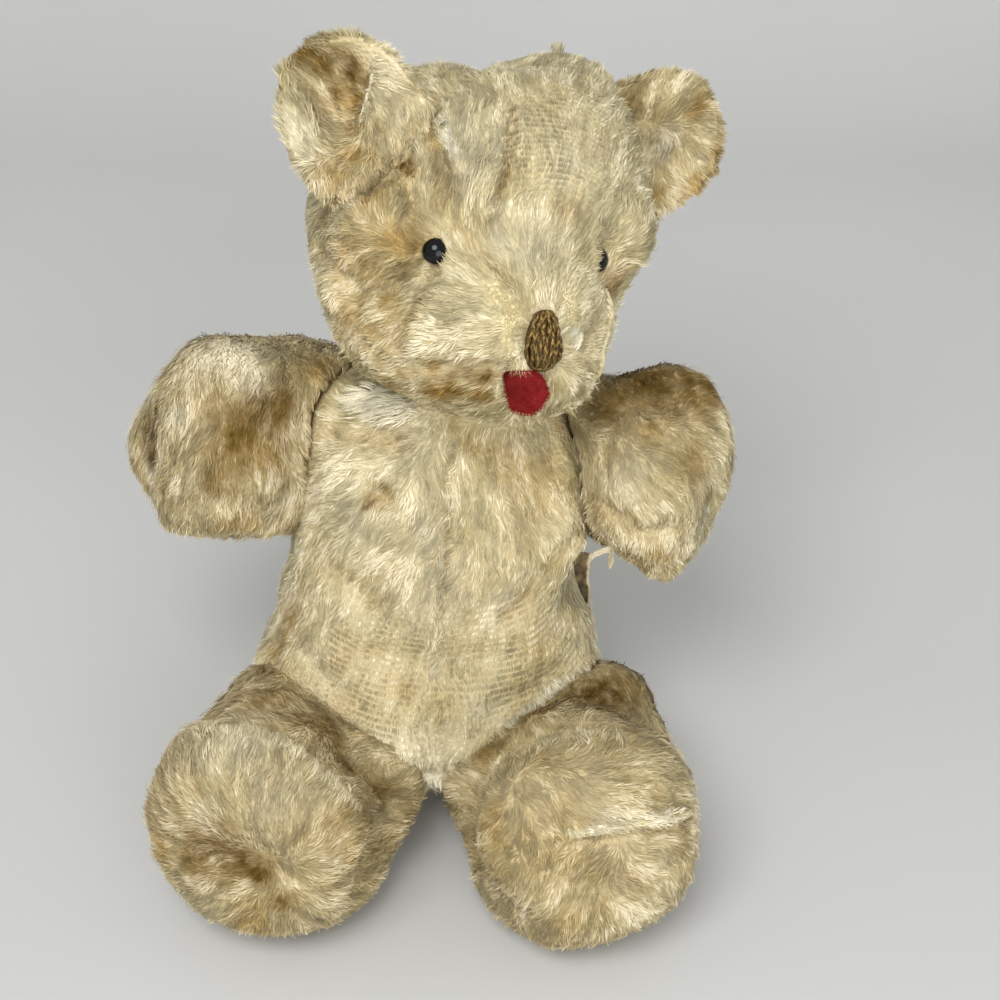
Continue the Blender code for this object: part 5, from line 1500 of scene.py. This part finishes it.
def make_nose():
    """Upright twisted threads, side by side over the nose's pad."""
    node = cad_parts["nose_stitching"]
    points = read(node.data.vertices, "co", 3)
    middle = points.mean(axis=0)
    tree = surface_tree(node.data)
    out = unit(np.array(NOSE_OUT))
    up = unit(np.array(NOSE_UP) - out * (np.array(NOSE_UP) @ out))
    across = np.cross(up, out)
    high = np.abs((points - middle) @ up).max()
    wide = np.abs((points - middle) @ across).max()
    chance = np.random.default_rng(5)
    pieces = []
    for column in range(NOSE_COLUMNS):
        share = (column + 0.5) / NOSE_COLUMNS * 2 - 1
        steps = np.linspace(-0.98, 0.90, NOSE_STEPS)
        reach = chance.uniform(0.95, 1.04)
        route = []
        for step in steps:
            narrow = (1 - abs(step) ** 2.6) ** 0.5 * (1.0 - 0.14 * step) * 0.86
            rise = step * reach * high * (1 - 0.14 * share ** 2)
            flat = middle + up * rise + across * (share * wide * narrow)
            flat += across * 0.0006 - up * 0.0009
            flat += across * 0.0004 * math.sin(4.5 * step + 2.4 * column)
            spot, _, _, _ = tree.ray_cast(Vector(flat + out * 0.02), Vector(-out))
            if spot is None:
                spot, _, _, _ = tree.find_nearest(Vector(flat))
            route.append(np.array(spot))
        route = np.array(route)
        length = np.concatenate(((0,), np.cumsum(np.linalg.norm(np.diff(route, axis=0), axis=1))))
        pitch = chance.uniform(0.8, 1.3)
        for ply in range(2):
            hand = 1 if column % 2 else -1
            angle = hand * 2 * math.pi * length / (NOSE_PITCH * pitch) + ply * math.pi + column * 2.3
            curl = np.cos(angle)[:, None] * across + np.sin(angle)[:, None] * out
            rings = tube(route + out * 0.0002 + curl * PLY_OFFSET, THREAD_RADIUS, THREAD_SIDES)
            # Each ply's painted highlight, where its twist faces out, is weaker towards the bottom of the
            # nose; worn sets its strength.
            worn = chance.uniform(0.5, 1.0)
            tones = 0.05 + np.maximum(np.sin(angle), 0) ** 5 * worn * fade(steps, -1.3, 0.0)
            pieces.append((mesh_of("ply", rings), np.repeat(tones, THREAD_SIDES)))
    build = bmesh.new()
    layer = build.verts.layers.float.new("ply")
    for mesh, tones in pieces:
        joined(build, layer, mesh, tones)
        bpy.data.meshes.remove(mesh)
    # The pad, shrunk under the threads, takes the darkest thread colour: painted shadow in the gaps.
    for vertex in joined(build, layer, node.data, [NOSE_PAD_TONE] * len(points)):
        gap = np.array(vertex.co) - middle
        gap -= up * (0.10 * (gap @ up)) + across * (0.10 * (gap @ across))
        vertex.co = Vector(middle + gap + across * 0.0005 - up * 0.0008)
    piece = placed("nose_threads", smooth_mesh("nose_threads", build), thread_material())
    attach(piece, "root")
    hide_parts("nose_stitching")


# ---------------------------------------------------------------- muzzle seam
def seam_material():
    nodes = Nodes("seam_cloth")
    knots = nodes.noise(1300.0, 3.0)
    patches = nodes.span(nodes.noise(500.0), 0.35, 0.65)
    colour = nodes.mix(patches, linear(216, 204, 166), linear(184, 166, 124))
    colour = nodes.mix(nodes.span(knots, 0.5, 0.8, 0.0, 0.5), colour, linear(150, 128, 84))
    return nodes.finish(colour, 0.8, knots, 0.0005, 0.9)


def make_rim():
    """The raised, knobbly seam along the left side of the muzzle, worn bare."""
    route = rounded(np.array(RIM) * MM)
    found = [SKIN_TREES["head"].find_nearest(Vector(place)) for place in route]
    route = np.array([place + normal * 0.0006 for place, normal, _, _ in found])
    route += 0.0003 * swirl(route, 0.003, 95)
    thick = SEAM_RADIUS * (1 + 0.35 * noise(route, 0.0015, 96))
    piece = placed("muzzle_seam", mesh_of("muzzle_seam", tube(route, thick, 8)), seam_material())
    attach(piece, "root")


# ---------------------------------------------------------------- tongue
def felt_material():
    nodes = Nodes("red_felt")
    mottle = nodes.noise(420.0, 4.0, 0.65)
    colour = nodes.mix(nodes.span(mottle, 0.3, 0.7), linear(98, 18, 18), linear(136, 34, 32))
    worn = nodes.mix(nodes.span(nodes.noise(90.0), 0.55, 0.75, 0.0, 0.25), colour, linear(168, 44, 40))
    # The top left corner is darkened to a deep red: painted shade.
    across, _, high = nodes.add("ShaderNodeSeparateXYZ", {0: nodes.place()}).outputs
    corner = nodes.math("MULTIPLY", nodes.span(across, 0.0185, 0.0220, 0.9, 0.0),
                        nodes.span(high, 0.1490, 0.1540, 0.2, 1.0))
    worn = nodes.mix(corner, worn, linear(56, 8, 12))
    return nodes.finish(worn, 0.92, nodes.noise(1500.0, 4.0), 0.0005, 0.9, Specular_IOR_Level=0.12)


def make_tongue():
    """A felt tab cut by hand; its loose fibres are a piece of their own."""
    material = felt_material()
    rim = np.array(TONGUE_RIM) * MM
    middle = rim.mean(axis=0)
    edge = rounded(rim, 5, closed=True)
    edge += 0.00012 * swirl(edge, 0.0012, 91)
    rings = []
    thick = np.array(TONGUE_OUT) * TONGUE_THICK
    for share, side in ((0.0, 1), (0.3, 1), (0.6, 1), (0.85, 1), (0.96, 0.92), (1.0, 0.55), (0.99, 0.1),
                        (0.9, 0), (0.5, 0), (0.0, 0)):
        ring = middle + (edge - middle) * share
        curl = TONGUE_CURL * fade(ring[:, 2], 0.150, 0.1425) + 0.00025 * noise(ring, 0.004, 93)
        ring = ring + thick * (side - 1) + np.array((0, -1, 0)) * curl[:, None]
        rings.append([Vector(point) for point in ring])
    tongue = placed("tongue_felt", mesh_of("tongue_felt", rings), material)
    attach(tongue, "root")
    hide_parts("tongue")
    make_fuzz(edge, middle, material)


def make_fuzz(edge, middle, material):
    """Loose fibres on the front of the tongue and along its edge."""
    chance = np.random.default_rng(7)
    roots = edge[chance.integers(0, len(edge), TONGUE_FIBRES)]
    share = np.sqrt(chance.random((TONGUE_FIBRES, 1)))
    share[:TONGUE_EDGE_FIBRES] = chance.uniform(0.93, 0.99, (TONGUE_EDGE_FIBRES, 1))
    roots = middle + (roots - middle) * share + np.array((0, 0.0001, 0))
    roots[:, 1] -= TONGUE_CURL * fade(roots[:, 2], 0.150, 0.1425)
    up = np.tile(TONGUE_OUT, (TONGUE_FIBRES, 1))
    way = along_surface(chance.normal(0, 1, (TONGUE_FIBRES, 3)), up)
    outward = along_surface(roots - middle, up)
    way[:TONGUE_EDGE_FIBRES] = unit(way + 1.6 * outward)[:TONGUE_EDGE_FIBRES]
    length = chance.uniform(0.0005, 0.0013, (TONGUE_FIBRES, 1))
    halfway = roots + (way * 0.8 + up * 0.35) * length * 0.5
    tip = halfway + (way * 0.95 + up * 0.1) * length * 0.5
    half = np.full((TONGUE_FIBRES, 1), FIBRE_HALF)
    shades = (unit(up), unit(up), unit(up + 0.3 * way))
    fuzz = strand_mesh("tongue_fuzz", roots, halfway, tip, half, up, shades)
    piece = placed("tongue_fuzz", fuzz, material)
    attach(piece, "root")


# ---------------------------------------------------------------- label
def tape(first, last, across=9):
    """Closed thin rings between the two edges of a tape: points and how far each is from the first edge."""
    runs = unit(np.gradient((first + last) / 2, axis=0))
    facing = unit(np.cross(runs, last - first))
    shares = np.linspace(0, 1, across)
    rows, tones = [], []
    for side in (0.5, -0.5):
        for share in (shares if side > 0 else shares[::-1]):
            row = first + (last - first) * share
            ripple = 0.00035 * np.sin(share * 5.0) + 0.0003 * noise(row, 0.003, 97)
            rows.append(row + facing * (side * LABEL_THICK + ripple)[:, None])
            tones.append(share)
    rows.append(rows[0])
    tones.append(tones[0])
    return rows, tones


def tape_material():
    nodes = Nodes("label_tape")
    warp, weft = (nodes.add("ShaderNodeTexWave", {"Vector": nodes.place(), "Scale": 700.0, "Distortion": 2.0},
                            bands_direction=way).outputs["Fac"] for way in "ZX")
    weave = nodes.math("MULTIPLY", warp, weft)
    dirt = nodes.span(nodes.noise(300.0, 3.0), 0.35, 0.65)
    # The brown face is dirt and painted shade; the pale edge is the tape's own off-white.
    shaded_dirty_face = nodes.mix(dirt, linear(128, 106, 66), linear(44, 33, 16))
    shaded_dirty_face = nodes.mix(nodes.span(weave, 0.2, 0.8, 0.0, 0.6), shaded_dirty_face, linear(34, 26, 13))
    pale = nodes.mix(dirt, linear(216, 207, 178), linear(176, 160, 122))
    return nodes.finish(nodes.mix(nodes.attribute("pale"), shaded_dirty_face, pale), 0.8, weave, 0.0002, 0.7)


def make_label():
    """A plain woven tape in the side seam, frayed, its upper end torn and curled. It carries no print."""
    inner, outer = (rounded(np.array(edge) * MM) for edge in (LABEL_INNER, LABEL_OUTER))
    over, under = (rounded(np.array(edge) * MM) for edge in (TAIL_OVER, TAIL_UNDER))
    build = bmesh.new()
    layer = build.verts.layers.float.new("pale")
    for first, last, body in ((inner, outer, True), (over, under, False)):
        last = last + (0.0003 * noise(last, 0.0009, 98))[:, None] * unit(last - first)
        rows, tones = tape(first, last)
        made = []
        for row, tone in zip(rows[:-1], tones):
            made.append([build.verts.new(point) for point in row])
            for vertex in made[-1]:
                vertex[layer] = float(fade(np.array(tone), 0.72, 0.86)) if body else 1.0
        made.append(made[0])
        bridge(build, made)
    bmesh.ops.holes_fill(build, edges=[edge for edge in build.edges if edge.is_boundary])
    bmesh.ops.recalc_face_normals(build, faces=build.faces)
    label = placed("label_strip", smooth_mesh("label_strip", build), tape_material())
    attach(label, "root")
    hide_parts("label")


EYE_MATERIAL = eye_material()
for eye_name in EYES:
    make_eye(eye_name, EYE_MATERIAL)
make_nose()
make_rim()
make_tongue()
make_label()


# ---------------------------------------------------------------- stage
# Where the photograph's camera was: millimetres of lens and sensor, place, degrees up from straight down.
CAMERA_LENS = 67.32
CAMERA_SENSOR = 36.0
CAMERA_PLACE = (0.0176, -0.4337, 0.4096)
CAMERA_TILT = 55.0
LIT_AT = (0, 0, 0.08)
# Soft lights: name, place, width, power.
LAMPS = (("key", (-0.30, -0.80, 1.25), 0.8, 12.5), ("fill", (0.35, -1.1, 0.35), 0.9, 6.5),
         ("rear", (0.3, 1.2, 1.1), 1.0, 5.0))
SWEEP_STEPS = 12


def make_stage():
    """The pale floor that sweeps up behind, the lights and the camera."""
    scene = bpy.context.scene
    scene.view_settings.view_transform = "Standard"
    world = bpy.data.worlds.new("studio")
    scene.world = world
    world.use_nodes = True
    world.node_tree.nodes["Background"].inputs["Color"].default_value = (0.98, 0.99, 1.0, 1.0)
    world.node_tree.nodes["Background"].inputs["Strength"].default_value = 0.64
    build = bmesh.new()
    profile = [(-1.6, 0.0), (0.45, 0.0)]
    for step in range(1, SWEEP_STEPS + 1):
        angle = math.radians(90 * step / SWEEP_STEPS)
        profile.append((0.45 + 0.25 * math.sin(angle), 0.25 * (1 - math.cos(angle))))
    profile.append((0.70, 2.2))
    bridge(build, [[build.verts.new((x, y, z)) for x in (-2.0, 2.0)] for y, z in profile])
    nodes = Nodes("pale_floor")
    tint = nodes.mix(nodes.span(nodes.noise(3.0), 0.3, 0.7), linear(192, 192, 190), linear(199, 199, 197))
    floor = placed("floor", smooth_mesh("floor", build), nodes.finish(tint, 0.7))
    for name, place, size, energy in LAMPS:
        lamp = bpy.data.lights.new(name, "AREA")
        lamp.shape = "DISK"
        lamp.size = size
        lamp.energy = energy
        item = placed(name, lamp)
        item.location = place
        aim_at = Vector(LIT_AT) - Vector(place)
        item.rotation_euler = aim_at.to_track_quat("-Z", "Y").to_euler()
    camera = bpy.data.cameras.new("camera")
    camera.lens = CAMERA_LENS
    camera.sensor_width = CAMERA_SENSOR
    item = placed("camera", camera)
    item.location = CAMERA_PLACE
    item.rotation_euler = (math.radians(CAMERA_TILT), 0.0, 0.0)
    scene.camera = item


make_stage()
